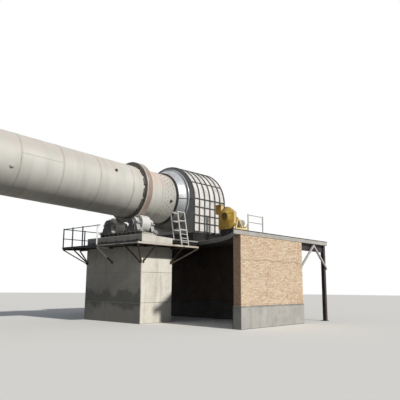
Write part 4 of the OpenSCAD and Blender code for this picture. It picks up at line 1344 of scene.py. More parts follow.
@dataclass
class Assembly:
    """A sub-assembly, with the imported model, the finishes and the kiln's axis."""

    frame: dict[str, Any]
    finishes: dict[str, Material]
    line: KilnLine = field(default_factory=KilnLine)

    def dress(self, slot: str, *nodes: str) -> None:
        """Gives CAD nodes a finish.

        Args:
            slot: The finish's name.
            nodes: The nodes.
        """
        for node in nodes:
            for place in self.frame["nodes"][node].material_slots:
                place.material = self.finishes[slot]
            LOG.info("%s: finish %s", node, slot)

    def refine(self, slot: str, node: str, body: Body = Body.ROOT, bevel: float = 0.0,
               smooth: float = 32.0) -> Piece:
        """Replaces a CAD node by a merged, smoothly shaded copy with broken edges.

        Args:
            slot: The finish's name.
            node: The node.
            body: The body that it rides on.
            bevel: Width of its edges' bevel.
            smooth: Largest angle in degrees that is shaded smooth.

        Returns:
            The copy.
        """
        shape = self.frame["nodes"][node].data.copy()
        shape.name = node + "_finished"
        mesh = bmesh.new()
        mesh.from_mesh(shape)
        bmesh.ops.remove_doubles(mesh, verts=mesh.verts, dist=2e-5)
        if bevel:
            bmesh.ops.dissolve_limit(mesh, angle_limit=math.radians(0.4), verts=mesh.verts, edges=mesh.edges)
            round_edges(mesh, bevel, smooth, segments=1)
            bmesh.ops.triangulate(mesh, faces=[face for face in mesh.faces if len(face.verts) > 4])
        mesh.to_mesh(shape)
        mesh.free()
        shape.materials.clear()
        shape.materials.append(self.finishes[slot])
        shade(shape, smooth)
        return settle(add_object(shape.name, shape), body, slot, node)

    def make(self, build: Builder, name: str, slot: str, *replaced: str, body: Body = Body.ROOT,
             bevel: float = 0.0, smooth: float = 35.0) -> Piece:
        """Makes a piece of the solids that a builder has collected.

        Args:
            build: The builder.
            name: The piece's name.
            slot: The finish's name.
            replaced: CAD nodes that it stands for.
            body: The body that it rides on.
            bevel: Width of its edges' bevel.
            smooth: Largest angle in degrees that is shaded smooth.

        Returns:
            The piece.
        """
        return settle(build.done(name, self.finishes[slot], bevel, smooth), body, slot, *replaced)

    def bolts(self, name: str, slot: str, places: Sequence[Matrix], count: int, radius: float, size: float,
              heads: Heads = Heads.ALONG, body: Body = Body.ROOT) -> Piece:
        """Places rings of bolts.

        Args:
            name: The piece's name.
            slot: The bolts' finish.
            places: The frame of each ring, with its Z axis through the ring.
            count: Bolts in a ring.
            radius: The ring's radius.
            size: Radius of a head.
            heads: Which way the heads point.
            body: The body that they ride on.

        Returns:
            The piece.
        """
        piece = grow(name, bolt_ring_tree(), self.finishes[slot],
                     {"Count": count, "Radius": radius, "Size": size, "Outward": heads.value}, places=places)
        return settle(piece, body, slot)

    def bolt_rows(self, name: str, slot: str, rows: Sequence[tuple[Point, Point, Point]], spacing: float,
                  size: float) -> Piece:
        """Places straight rows of bolts.

        Args:
            name: The piece's name.
            slot: The bolts' finish.
            rows: First point, last point and the heads' direction of each row.
            spacing: Distance from bolt to bolt.
            size: Radius of a head.

        Returns:
            The piece.
        """
        return self.bolt_line(name, slot, [row[:2] for row in rows], [[row[2]] * 2 for row in rows], spacing, size)

    def bolt_line(self, name: str, slot: str, lines: Sequence[Sequence[Point]],
                  aims: Sequence[Sequence[Point]], spacing: float, size: float) -> Piece:
        """Places bolts along lines.

        Args:
            name: The piece's name.
            slot: The bolts' finish.
            lines: The points of each line.
            aims: The heads' direction at each point.
            spacing: Distance from bolt to bolt.
            size: Radius of a head.

        Returns:
            The piece.
        """
        piece = grow(name, bolt_path_tree(), self.finishes[slot], {"Spacing": spacing, "Size": size},
                     base=path_mesh(name, lines, aims=aims))
        return settle(piece, Body.ROOT, slot)

    def bars(self, name: str, slot: str, lines: Sequence[Sequence[Point]], radius: float,
             closed: bool = False, ripple: float = 0.0, step: float = 0.05, sides: int = 8,
             body: Body = Body.ROOT) -> Piece:
        """Runs a round bar or a weld bead along lines.

        Args:
            name: The piece's name.
            slot: Its finish.
            lines: The points of each line.
            radius: The bar's radius.
            closed: Whether each line joins its ends.
            ripple: Share of the radius that varies at random.
            step: Distance from ring to ring along the line.
            sides: Sides of the bar.
            body: The body that it rides on.

        Returns:
            The piece.
        """
        piece = grow(name, bead_tree(), self.finishes[slot],
                     {"Step": step, "Radius": radius, "Ripple": ripple, "Sides": sides},
                     base=path_mesh(name, lines, closed))
        shade(piece.data, 50.0)
        return settle(piece, body, slot)


# ---------------------------------------------------------------------------
# Camera, light and floor


@dataclass
class Studio:
    """The camera, the light and the floor."""

    eye: Point = (-14.912, -18.09, 1.612)
    yaw: float = math.radians(47.787)
    pitch: float = math.radians(9.977)
    roll: float = math.radians(0.336)
    lens: float = 43.84
    sensor: float = 36.0
    to_sun: Point = (-0.04, -0.83, 0.56)
    sun_strength: float = 3.1
    sun_spread: float = math.radians(3.0)
    sky: Colour = (0.25, 0.27, 0.30)
    floor_radius: float = 90.0
    floor_pale: Colour = (0.80, 0.79, 0.77)
    floor_bounce: Colour = (0.19, 0.18, 0.155)

    def camera(self) -> None:
        """Places the camera at the photograph's viewpoint."""
        data = bpy.data.cameras.new("camera")
        data.lens, data.sensor_width, data.sensor_fit = self.lens, self.sensor, "HORIZONTAL"
        data.clip_end = 500.0
        view = Vector((math.sin(self.yaw) * math.cos(self.pitch), math.cos(self.yaw) * math.cos(self.pitch),
                       math.sin(self.pitch)))
        right = Vector((math.cos(self.yaw), -math.sin(self.yaw), 0.0))
        up = right.cross(view)
        turned_right = right * math.cos(self.roll) + up * math.sin(self.roll)
        turned_up = up * math.cos(self.roll) - right * math.sin(self.roll)
        place = Matrix((turned_right, turned_up, -view)).transposed().to_4x4()
        place.translation = self.eye
        camera = add_object("camera", data)
        camera.matrix_world = place
        bpy.context.scene.camera = camera

    def sun(self) -> None:
        """Places the sun."""
        data = bpy.data.lights.new("sun", "SUN")
        data.energy, data.angle, data.color = self.sun_strength, self.sun_spread, (1.0, 0.965, 0.90)
        add_object("sun", data).rotation_euler = Vector(self.to_sun).to_track_quat("Z", "Y").to_euler()

    def surroundings(self) -> None:
        """Makes a world that is white where it is seen and a soft sky where it lights."""
        world = bpy.data.worlds.new("world")
        graph = cleared(world)
        colour = graph.mix(self._shown(graph), self.sky, (1.0, 1.0, 1.0))
        shader = graph.out("ShaderNodeBackground", {"Color": colour})
        graph.add("ShaderNodeOutputWorld", {"Surface": shader})
        bpy.context.scene.world = world

    def floor(self) -> None:
        """Lays a pale floor that keeps the object's shadow."""
        material = bpy.data.materials.new("floor")
        graph = cleared(material)
        colour = graph.mix(self._shown(graph), self.floor_bounce, self.floor_pale)
        shader = graph.out("ShaderNodeBsdfDiffuse", {"Color": colour})
        graph.add("ShaderNodeOutputMaterial", {"Surface": shader})
        mesh = bmesh.new()
        bmesh.ops.create_circle(mesh, cap_ends=True, segments=96, radius=self.floor_radius,
                                matrix=Matrix.Translation((-9.0, 0.0, -0.002)))
        shape = bpy.data.meshes.new("floor")
        mesh.to_mesh(shape)
        mesh.free()
        shape.materials.append(material)
        add_object("floor", shape)

    def _shown(self, graph: Graph) -> Socket:
        """Gives 1 where the camera, a reflection or glass sees the surface."""
        path = graph.add("ShaderNodeLightPath").outputs
        seen = graph.math("ADD", path["Is Camera Ray"], path["Is Glossy Ray"])
        return graph.math("ADD", seen, path["Is Transmission Ray"], clamp=True)

    def build(self) -> None:
        """Sets up everything round the object."""
        self.camera()
        self.sun()
        self.surroundings()
        self.floor()
        bpy.context.scene.view_settings.view_transform = "Standard"


# ---------------------------------------------------------------------------
# Finishes by slot


def make_finishes(line: KilnLine) -> dict[str, Material]:
    """Builds every finish.

    Args:
        line: The kiln's axis.

    Returns:
        The materials by slot, and the mortar.
    """
    place = kiln_place_group(line.axis_height, line.slope)
    grey = ((0.44, 0.43, 0.405), (0.55, 0.54, 0.51), (0.22, 0.205, 0.18))
    unlifted = 9.0
    kinds = [
        Concrete("concrete", (0.80, 0.76, 0.67), (0.86, 0.835, 0.77), (0.40, 0.36, 0.30), uphill_shade=1.1),
        Concrete("cap_concrete", (0.66, 0.63, 0.56), (0.78, 0.76, 0.70), (0.30, 0.28, 0.24), runs=0.35,
                 lift=unlifted, uphill_shade=1.3, foot=3.60),
        Concrete("slab_concrete", *grey, runs=0.3, lift=unlifted, uphill_shade=2.0, room_shaded=True,
                 uphill_shade_colour=(0.075, 0.075, 0.078)),
        Concrete("plinth_concrete", *grey, runs=0.3, lift=unlifted, uphill_shade=0.6, room_shaded=True),
        BrickFace("brick"),
        Concrete("mortar", (0.50, 0.43, 0.33), (0.62, 0.56, 0.46), (0.26, 0.21, 0.16), runs=0.3,
                 lift=unlifted, room_shaded=True),
        Paint("dark_steel", (0.07, 0.074, 0.082), (0.045, 0.047, 0.052), rust_cover=0.34, gloss=0.3),
        Paint("black_steel", (0.018, 0.018, 0.02), (0.012, 0.012, 0.014), dust_amount=0.2, gloss=0.2),
        Paint("maroon_steel", (0.045, 0.026, 0.034), (0.03, 0.018, 0.024), dust_amount=0.3, gloss=0.3),
        Paint("plate_paint", (0.26, 0.275, 0.28), (0.18, 0.19, 0.195), dust_amount=0.3),
        Paint("bearing_paint", (0.46, 0.465, 0.465), (0.34, 0.345, 0.345), dust_amount=0.8,
              dust=(0.78, 0.76, 0.72), gloss=0.2, lee=(0.075, 0.08, 0.082)),
        Paint("frame_dust", (0.42, 0.41, 0.385), (0.28, 0.275, 0.26), dust_amount=0.75,
              dust=(0.72, 0.69, 0.63), gloss=0.2, lee=(0.12, 0.118, 0.112)),
        Paint("bracket_paint", (0.075, 0.062, 0.045), (0.04, 0.034, 0.027), rust_cover=0.38,
              dust_amount=0.3, gloss=0.2),
        Paint("chalk_paint", (0.94, 0.94, 0.93), (0.88, 0.88, 0.87), rust_cover=0.2, dust_amount=0.0,
              wear=0.1, runs=0.1),
        Paint("stand_paint", (0.76, 0.75, 0.73), (0.60, 0.59, 0.575), rust_cover=0.32, dust_amount=0.3),
        Paint("rusty_steel", (0.17, 0.095, 0.06), (0.09, 0.06, 0.05), rust=(0.24, 0.10, 0.045),
              rust_cover=0.5, dust_amount=0.4),
        Paint("deck_paint", (0.014, 0.026, 0.05), (0.009, 0.016, 0.03), rust=(0.06, 0.04, 0.035),
              dust_amount=0.1, gloss=0.15, under=(0.12, 0.11, 0.095)),
        Paint("worn_steel", (0.60, 0.54, 0.48), (0.70, 0.65, 0.58), rust=(0.34, 0.24, 0.18),
              rust_cover=0.42, dust_amount=0.3),
        Sheet("white_paint", (0.92, 0.92, 0.92), (0.85, 0.85, 0.86), (0.55, 0.55, 0.55), metallic=0.7,
              roughness=0.25, dirt_amount=0.15),
        Paint("rail_paint", (0.045, 0.115, 0.19), (0.03, 0.07, 0.115), rust_cover=0.28, dust_amount=0.1,
              wear=0.3, gloss=0.25),
        Paint("grey_steel", (0.55, 0.55, 0.545), (0.40, 0.40, 0.40), dust_amount=0.4),
        Paint("yellow_paint", (0.53, 0.35, 0.045), (0.43, 0.245, 0.022), rust=(0.30, 0.13, 0.03),
              rust_cover=0.35, dust_amount=0.25, runs=0.5, dust=(0.60, 0.50, 0.30)),
        Paint("frame_yellow", (0.85, 0.71, 0.37), (0.77, 0.58, 0.23), dust_amount=0.35,
              dust=(0.80, 0.74, 0.56)),
        # Pale cream strips on the blower casing's edges: a painted highlight of their sunlit faces.
        Paint("rim_paint", (0.80, 0.66, 0.40), (0.70, 0.52, 0.24), rust_cover=0.33, dust_amount=0.4,
              dust=(0.80, 0.72, 0.55)),
        Paint("motor_paint", (0.46, 0.45, 0.42), (0.33, 0.32, 0.30), rust_cover=0.33, dust_amount=0.5),
        Paint("machine_blue", (0.05, 0.115, 0.21), (0.035, 0.075, 0.14), rust_cover=0.33,
              dust_amount=0.45),
        Paint("frame_blue", (0.06, 0.09, 0.14), (0.04, 0.06, 0.09), rust_cover=0.35, dust_amount=0.35),
        Paint("housing_paint", (0.58, 0.57, 0.53), (0.46, 0.46, 0.44), rust_cover=0.32, dust_amount=0.4,
              runs=0.45, scale=0.6),
        Paint("black_seal", (0.014, 0.014, 0.014), (0.008, 0.008, 0.008), dust_amount=0.2,
              roughness=0.42),
        Paint("pad_steel", (0.15, 0.145, 0.125), (0.07, 0.066, 0.056), rust=(0.17, 0.115, 0.08),
              rust_cover=0.42, dust_amount=0.0),
        Paint("fitting", (0.018, 0.018, 0.018), (0.03, 0.025, 0.022), rust_cover=0.42, dust_amount=0.0),
        Paint("bolt", (0.10, 0.095, 0.09), (0.06, 0.058, 0.055), rust_cover=0.5, dust_amount=0.0),
        Paint("weld", (0.50, 0.485, 0.45), (0.34, 0.325, 0.295), rust_cover=0.36, dust_amount=0.0),
        Sheet("white_panel", (0.86, 0.86, 0.86), (0.75, 0.725, 0.72), (0.34, 0.31, 0.31), roughness=0.3),
        Sheet("galvanised", (0.66, 0.68, 0.70), (0.54, 0.56, 0.585), (0.22, 0.22, 0.225), metallic=0.6,
              roughness=0.34, spangle=0.35, dirt_amount=0.35),
        Sheet("sleeve_sheet", (0.58, 0.60, 0.63), (0.46, 0.485, 0.52), (0.20, 0.20, 0.205), metallic=0.6,
              roughness=0.3, spangle=0.35, dirt_amount=0.4, soot=(5.4, 4.75)),
        ShellPaint("shell_paint", place),
        TurnedSteel("tyre_steel", (0.43, 0.36, 0.315), (0.31, 0.25, 0.22), (0.33, 0.235, 0.19),
                    place=place, side=(0.15, 0.138, 0.128), rust_cover=0.5, metallic=0.15,
                    roughness=0.5),
        TurnedSteel("gear_steel", (0.17, 0.16, 0.15), (0.08, 0.075, 0.07), (0.16, 0.085, 0.05),
                    place=place, metallic=0.4),
        TurnedSteel("roller_steel", (0.78, 0.78, 0.77), (0.62, 0.62, 0.61), (0.42, 0.36, 0.31),
                    rust_cover=0.3, metallic=0.2, roughness=0.42),
    ]
    return {kind.name: kind.build() for kind in kinds}


# ---------------------------------------------------------------------------
# The turning kiln


@dataclass
class Shell(Assembly):
    """The turning shell with its welds, bolts and fittings."""

    radius: float = 1.25
    low: float = -22.0
    high: float = 2.9
    seam_start: float = -0.825
    seam_pitch: float = 1.825
    weld_root: float = 0.002
    bolt_places: tuple[float, ...] = (1.19, 1.37, 1.55, 1.73)

    def seams(self) -> None:
        """Adds the welds round the shell, and the staggered welds along each course."""
        places = [self.seam_start - self.seam_pitch * step for step in range(12)]
        places = [s for s in places if self.low + 0.3 < s < self.high]
        root = self.radius - self.weld_root
        rings = [circle_points(root, 160, self.line.at(s)) for s in places]
        self.bars("shell_ring_welds", "weld", rings, 0.011, closed=True, ripple=0.45, step=0.035, sides=6,
                  body=Body.KILN)
        seams = []
        for course, s in enumerate(places[:-1]):
            turn = 0.7 + 2.1 * course
            seams.append([self.line.at(s - share * self.seam_pitch) @ Vector(
                (0.0, root * math.sin(turn), root * math.cos(turn))) for share in (0.006, 0.994)])
        self.bars("shell_long_welds", "weld", seams, 0.010, ripple=0.45, step=0.035, sides=6, body=Body.KILN)

    def nose_bolts(self) -> None:
        """Adds the rows of bolts that hold the lining's end castings."""
        places = [self.line.at(s) @ TO_X @ Matrix.Rotation(math.radians(4.5 * index), 4, "Z")
                  for index, s in enumerate(self.bolt_places)]
        self.bolts("nose_ring_bolts", "fitting", places, 36, self.radius, 0.013, Heads.OUTWARD, Body.KILN)

    def fittings(self) -> None:
        """Adds the small ports and lugs on the shell."""
        build = Builder()
        for s, turn, radius, height in ((-1.79, -64.6, 0.05, 0.045), (1.585, -104.0, 0.045, 0.05),
                                        (-10.4, 40.0, 0.05, 0.045)):
            place = self.line.at(s) @ Matrix.Rotation(math.radians(-turn), 4, "X")
            foot, top = self.radius - 0.01, self.radius + height
            build.peg(place, foot, foot + 0.022, 1.5 * radius)
            build.peg(place, foot, top, radius)
            build.peg(place, top - 0.018, top, 1.3 * radius)
        self.make(build, "shell_ports", "fitting", bevel=0.003, body=Body.KILN)
        build = Builder()
        place = self.line.at(-6.63) @ Matrix.Rotation(math.radians(107.0), 4, "X")
        build.box((-0.06, -0.03, self.radius - 0.01), (0.06, 0.03, self.radius + 0.05), place)
        build.box((-0.09, -0.045, self.radius - 0.01), (0.09, 0.045, self.radius + 0.012), place)
        self.make(build, "shell_lug", "grey_steel", bevel=0.004, body=Body.KILN)

    def build(self) -> None:
        """Builds the shell."""
        self.refine("shell_paint", "kiln_shell", Body.KILN)
        self.seams()
        self.nose_bolts()
        self.fittings()


@dataclass
class Tyres(Assembly):
    """The tyres and the pads under them."""

    radius: float = 1.47
    bore: float = 1.2806
    width: float = 0.36
    places: tuple[float, float] = (0.0, -16.5)

    def tyre(self, node: str, s: float) -> None:
        """Turns one tyre.

        Args:
            node: The node that it replaces.
            s: Its place along the kiln.
        """
        half = self.width / 2
        bore, rim = self.bore, self.radius
        side = [(bore, half - 0.006), (bore + 0.006, half), (rim - 0.060, half), (rim - 0.056, half - 0.004),
                (rim - 0.020, half - 0.004), (rim - 0.006, half - 0.010), (rim, half - 0.028)]
        build = Builder()
        build.turned([(r, -x) for r, x in side] + side[::-1], self.line.at(s) @ TO_X, 144)
        self.make(build, node + "_turned", "tyre_steel", node, smooth=30.0, body=Body.KILN)

    def build(self) -> None:
        """Builds the tyres."""
        self.tyre("tyre_discharge", self.places[0])
        self.tyre("tyre_feed", self.places[1])
        self.refine("pad_steel", "tyre_pads", Body.KILN, bevel=0.004)


@dataclass
class Supports(Assembly):
    """The rollers with their bearings and base frames."""

    places: tuple[float, float] = (0.0, -16.5)
    radius: float = 0.40
    half_width: float = 0.25
    shaft: float = 0.10
    across: float = 0.93515
    drop: float = 1.6197
    bearing_reach: float = 0.43
    bearing_half: float = 0.11
    bearing_radius: float = 0.255
    bearing_height: float = 0.40
    foot_reach: float = 0.068
    journal_gap: float = 0.0015
    frame_half: float = 1.55
    frame_top: float = -2.0197
    cap_top: float = -2.2497

    def roller(self, node: str, body: Body, s: float, side: int) -> None:
        """Turns one roller on its shaft.

        Args:
            node: The node that it replaces.
            body: Its body.
            s: Its place along the kiln.
            side: -1 for the near side, 1 for the far side.
        """
        end = self.bearing_reach + self.bearing_half + 0.04
        half, rim, hub, dish = self.half_width, 0.8 * self.radius, 0.42 * self.radius, 0.06
        shaft = self.shaft - self.journal_gap
        right = [(shaft - 0.006, end), (shaft, end - 0.006), (shaft, half + 0.058),
                 (shaft + 0.008, half + 0.05), (hub - 0.008, half + 0.05), (hub, half + 0.042),
                 (hub + 0.004, half - dish + 0.014), (hub + 0.018, half - dish), (rim - 0.020, half - dish),
                 (rim - 0.004, half - dish + 0.016), (rim, half - 0.006), (rim + 0.006, half),
                 (self.radius - 0.012, half), (self.radius, half - 0.012)]
        profile = [(0.0, end)] + right + [(r, -x) for r, x in reversed(right)] + [(0.0, -end)]
        build = Builder()
        build.turned(profile, self.line.at(s, side * self.across, -self.drop) @ TO_X, 96, closed=False)
        self.make(build, node + "_turned", "roller_steel", node, smooth=30.0, body=body)

    def bearing_places(self) -> list[Matrix]:
        """Gives the frame of each bearing's centre, with its X axis away from the roller."""
        return [self.line.at(s + end * self.bearing_reach, side * self.across, -self.drop)
                @ Matrix.Rotation(math.pi if end < 0 else 0.0, 4, "Z")
                for s in self.places for side in (-1, 1) for end in (-1, 1)]

    def bearing_details(self) -> None:
        """Adds the feet, ribs, end covers, bolts and greasing points of the bearings."""
        rows = []
        build = Builder()
        face, wide, tall = self.bearing_half, self.bearing_radius, self.bearing_height
        for place in self.bearing_places():
            for side in (-1, 1):
                low, high = sorted((side * (1.5 * wide - 0.03), side * (1.5 * wide + self.foot_reach)))
                build.box((-face, low, -tall), (face, high, -tall + 0.038), place)
                for along in (-0.06, 0.06):
                    rows += [bolt_row(place @ Vector((along, side * (1.3 * wide - 0.04), 0.024))),
                             bolt_row(place @ Vector((along, side * (1.5 * wide + 0.034), 0.037 - tall)))]
                for low in (-face - 0.014, face - 0.002):
                    build.box((low, side * 0.74 * wide - 0.011, 0.03 - tall),
                              (low + 0.016, side * 0.74 * wide + 0.011, -0.03), place)
            build.turned([(r, face + out) for r, out in (
                (self.shaft + 0.005, -0.01), (0.195, -0.01), (0.195, 0.012), (0.183, 0.02), (0.132, 0.02),
                (0.132, 0.048), (0.120, 0.060), (0.0, 0.060), (0.0, 0.048), (self.shaft + 0.005, 0.045))],
                place @ TO_X, 40)
            build.peg(place, wide - 0.02, wide + 0.03, 0.024, 12)
            build.peg(place, wide + 0.025, wide + 0.045, 0.036, 6)
        self.make(build, "bearing_fittings", "bearing_paint", bevel=0.003)
        self.bolt_rows("bearing_bolts", "bolt", rows, 1.0, 0.021)
        covers = [place @ TO_X @ Matrix.Translation((0.0, 0.0, face + 0.019))
                  for place in self.bearing_places()]
        self.bolts("bearing_cover_bolts", "bolt", covers, 8, 0.152, 0.012)

    def frame_details(self) -> None:
        """Adds the base frames' stiffeners and their holding-down bolts."""
        build = Builder()
        rows = []
        for s in self.places:
            place = self.line.at(s, 0.0, self.cap_top)
            for along in (-self.bearing_reach, self.bearing_reach):
                for step in range(9):
                    across = (step - 4) * 0.32
                    for low, high in ((-0.118, -0.016), (0.016, 0.118)):
                        build.box((along + low, across - 0.007, 0.027),
                                  (along + high, across + 0.007, 0.203), place)
                for across, outs in ((0.48, (-0.085, 0.085)), (1.12, (-0.085, 0.085)),
                                     (self.frame_half - 0.10, (math.copysign(0.085, along),))):
                    rows += [bolt_row(place @ Vector((along + out, side * across, 0.030)))
                             for out in outs for side in (-1, 1)]
        self.make(build, "frame_stiffeners", "dark_steel")
        self.bolt_rows("frame_bolts", "bolt", rows, 1.0, 0.022)

    def adjusters(self) -> None:
        """Adds the screws that set the bearings' distance from the axis, with their blocks."""
        build = Builder()
        foot = self.across + 1.5 * self.bearing_radius + self.foot_reach
        for s in self.places:
            place = self.line.at(s, 0.0, self.frame_top)
            for side in (-1, 1):
                for along in (-self.bearing_reach, self.bearing_reach):
                    faces = sorted((side * (foot + 0.05), side * (foot + 0.10)))
                    build.box((along - 0.085, faces[0], -0.002), (along + 0.085, faces[1], 0.10), place)
                    for off in (-0.045, 0.045):
                        for start, end, radius, sides in ((-0.004, 0.16, 0.014, 12), (0.10, 0.13, 0.026, 6)):
                            build.rod(*(place @ Vector((along + off, side * (foot + out), 0.055))
                                        for out in (start, end)), radius, sides)
        self.make(build, "adjusting_screws", "grey_steel", bevel=0.002)

    def build(self) -> None:
        """Builds the supports."""
        discharge, feed = self.places
        self.roller("roller_discharge_near", Body.DISCHARGE_NEAR, discharge, -1)
        self.roller("roller_discharge_far", Body.DISCHARGE_FAR, discharge, 1)
        self.roller("roller_feed_near", Body.FEED_NEAR, feed, -1)
        self.roller("roller_feed_far", Body.FEED_FAR, feed, 1)
        self.refine("bearing_paint", "roller_bearings", bevel=0.005)
        self.refine("frame_dust", "roller_frames", bevel=0.003)
        self.bearing_details()
        self.frame_details()
        self.adjusters()


@dataclass
class Drive(Assembly):
    """The girth gear, its pinion, the gearbox and the motor."""

    gear_s: float = -14.1
    across: float = 1.2605
    drop: float = 1.5022
    coupling: float = 0.465
    gearbox_s: tuple[float, float] = (0.653, 1.353)
    motor_s: tuple[float, float] = (1.603, 2.503)

    def axis(self, along: float) -> Matrix:
        """Gives the frame of a place on the pinion's axis."""
        return self.line.at(self.gear_s + along, self.across, -self.drop)

    def motor_fins(self) -> None:
        """Adds the motor's cooling fins and end covers."""
        low, high = self.motor_s
        middle = self.axis((low + high) / 2) @ TO_X
        fins = {"Count": 40, "Radius": 0.262, "Fin": (0.036, 0.006, high - low - 0.26)}
        piece = grow("drive_motor_fins", fin_ring_tree(), self.finishes["machine_blue"], fins, places=[middle])
        settle(piece, Body.ROOT, "machine_blue")
        build, place = Builder(), self.axis(0.0)
        for start, end in ((low - 0.004, low + 0.10), (high - 0.10, high)):
            build.turned([(0.0, start), (0.20, start), (0.268, start + 0.02), (0.281, start + 0.03),
                          (0.281, end - 0.01), (0.268, end), (0.0, end)], place @ TO_X, 48, closed=False)
        self.make(build, "drive_motor_covers", "machine_blue")

    def bolts_and_ribs(self) -> None:
        """Adds the gearbox's bolts and ribs and the bolts of the couplings."""
        rows = []
        low, high = self.gearbox_s
        build, place = Builder(), self.axis(0.0)
        for side in (-1, 1):
            y = side * 0.43
            build.box((low + 0.04, y - 0.035, -0.02), (high - 0.04, y + 0.035, 0.02), place)
            for step in range(4):
                along = low + 0.10 + step * (high - low - 0.2) / 3
                build.box((along - 0.01, y - 0.05, -0.31), (along + 0.01, y + 0.05, -0.02), place)
            for inset, across, up in ((0.09, 0.447, 0.02), (0.05, 0.47, -0.31)):
                rows.append((*(place @ Vector((along, side * across, up))
                               for along in (low + inset, high - inset)), UP))
        self.make(build, "gearbox_ribs", "machine_blue", bevel=0.003)
        self.bolt_rows("gearbox_bolts", "bolt", rows, 0.14, 0.016)
        ring = self.axis(self.coupling - 0.006) @ TO_X @ Matrix.Rotation(math.pi, 4, "X")
        self.bolts("coupling_bolts", "bolt", [ring], 8, 0.135, 0.014, body=Body.PINION)

    def build(self) -> None:
        """Builds the drive."""
        self.refine("gear_steel", "girth_gear", Body.KILN)
        self.refine("pad_steel", "gear_springs", Body.KILN, bevel=0.002)
        self.refine("gear_steel", "pinion", Body.PINION)
        self.refine("bearing_paint", "pinion_bearings", bevel=0.004)
        self.refine("machine_blue", "gearbox", bevel=0.008)
        self.refine("machine_blue", "drive_motor", bevel=0.004)
        self.motor_fins()
        self.bolts_and_ribs()


# ---------------------------------------------------------------------------
# Piers, walkways and the platform


@dataclass
class Piers(Assembly):
    """The concrete piers and their caps."""

    lift: float = 1.3
    lift_from: float = 0.87
    groove: float = 0.012
    chamfer: float = 0.025

    def cast(self, node: str, slot: str, top: Callable[[float], float]) -> None:
        """Casts a pier in lifts, with a groove at each joint.

        Args:
            node: The node that it replaces.
            slot: The finish's name.
            top: Height of its top over a place along X.
        """
        low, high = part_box(node)
        build = Builder()
        rings = []
        levels: list[tuple[float | None, float]] = [(low.z, 0.012), (low.z + 0.012, 0.0)]
        joint = self.lift_from
        while joint < high.z - 0.3:
            if joint > low.z + 0.2:
                levels += [(joint - 0.011, 0.0), (joint - 0.004, self.groove), (joint + 0.004, self.groove),
                           (joint + 0.011, 0.0)]
            joint += self.lift
        levels += [(None, 0.0), (None, 0.014)]
        for index, (z, inset) in enumerate(levels):
            rings.append(self._outline(low, high, z, inset, top, 0.014 if index == len(levels) - 2 else 0.0))
        build.loft(rings)
        self.make(build, node + "_cast", slot, node, smooth=20.0)

    def _outline(self, low: Vector, high: Vector, z: float | None, inset: float,
                 top: Callable[[float], float], below: float) -> list[Point]:
        """Gives a rectangle with cut corners at a height, or just below the top where there is none."""
        x0, x1, y0, y1 = low.x + inset, high.x - inset, low.y + inset, high.y - inset
        cut = self.chamfer
        corners = [(x0 + cut, y0), (x1 - cut, y0), (x1, y0 + cut), (x1, y1 - cut),
                   (x1 - cut, y1), (x0 + cut, y1), (x0, y1 - cut), (x0, y0 + cut)]
        return [(x, y, top(x) - below if z is None else z) for x, y in corners]

    def build(self) -> None:
        """Builds the piers."""
        self.cast("pier_discharge", "concrete", lambda x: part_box("pier_discharge")[1].z)
        self.cast("pier_feed", "concrete", lambda x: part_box("pier_feed")[1].z)
        self.refine("cap_concrete", "pier_caps", bevel=0.015)
        self.refine("concrete", "drive_pier", bevel=0.02)


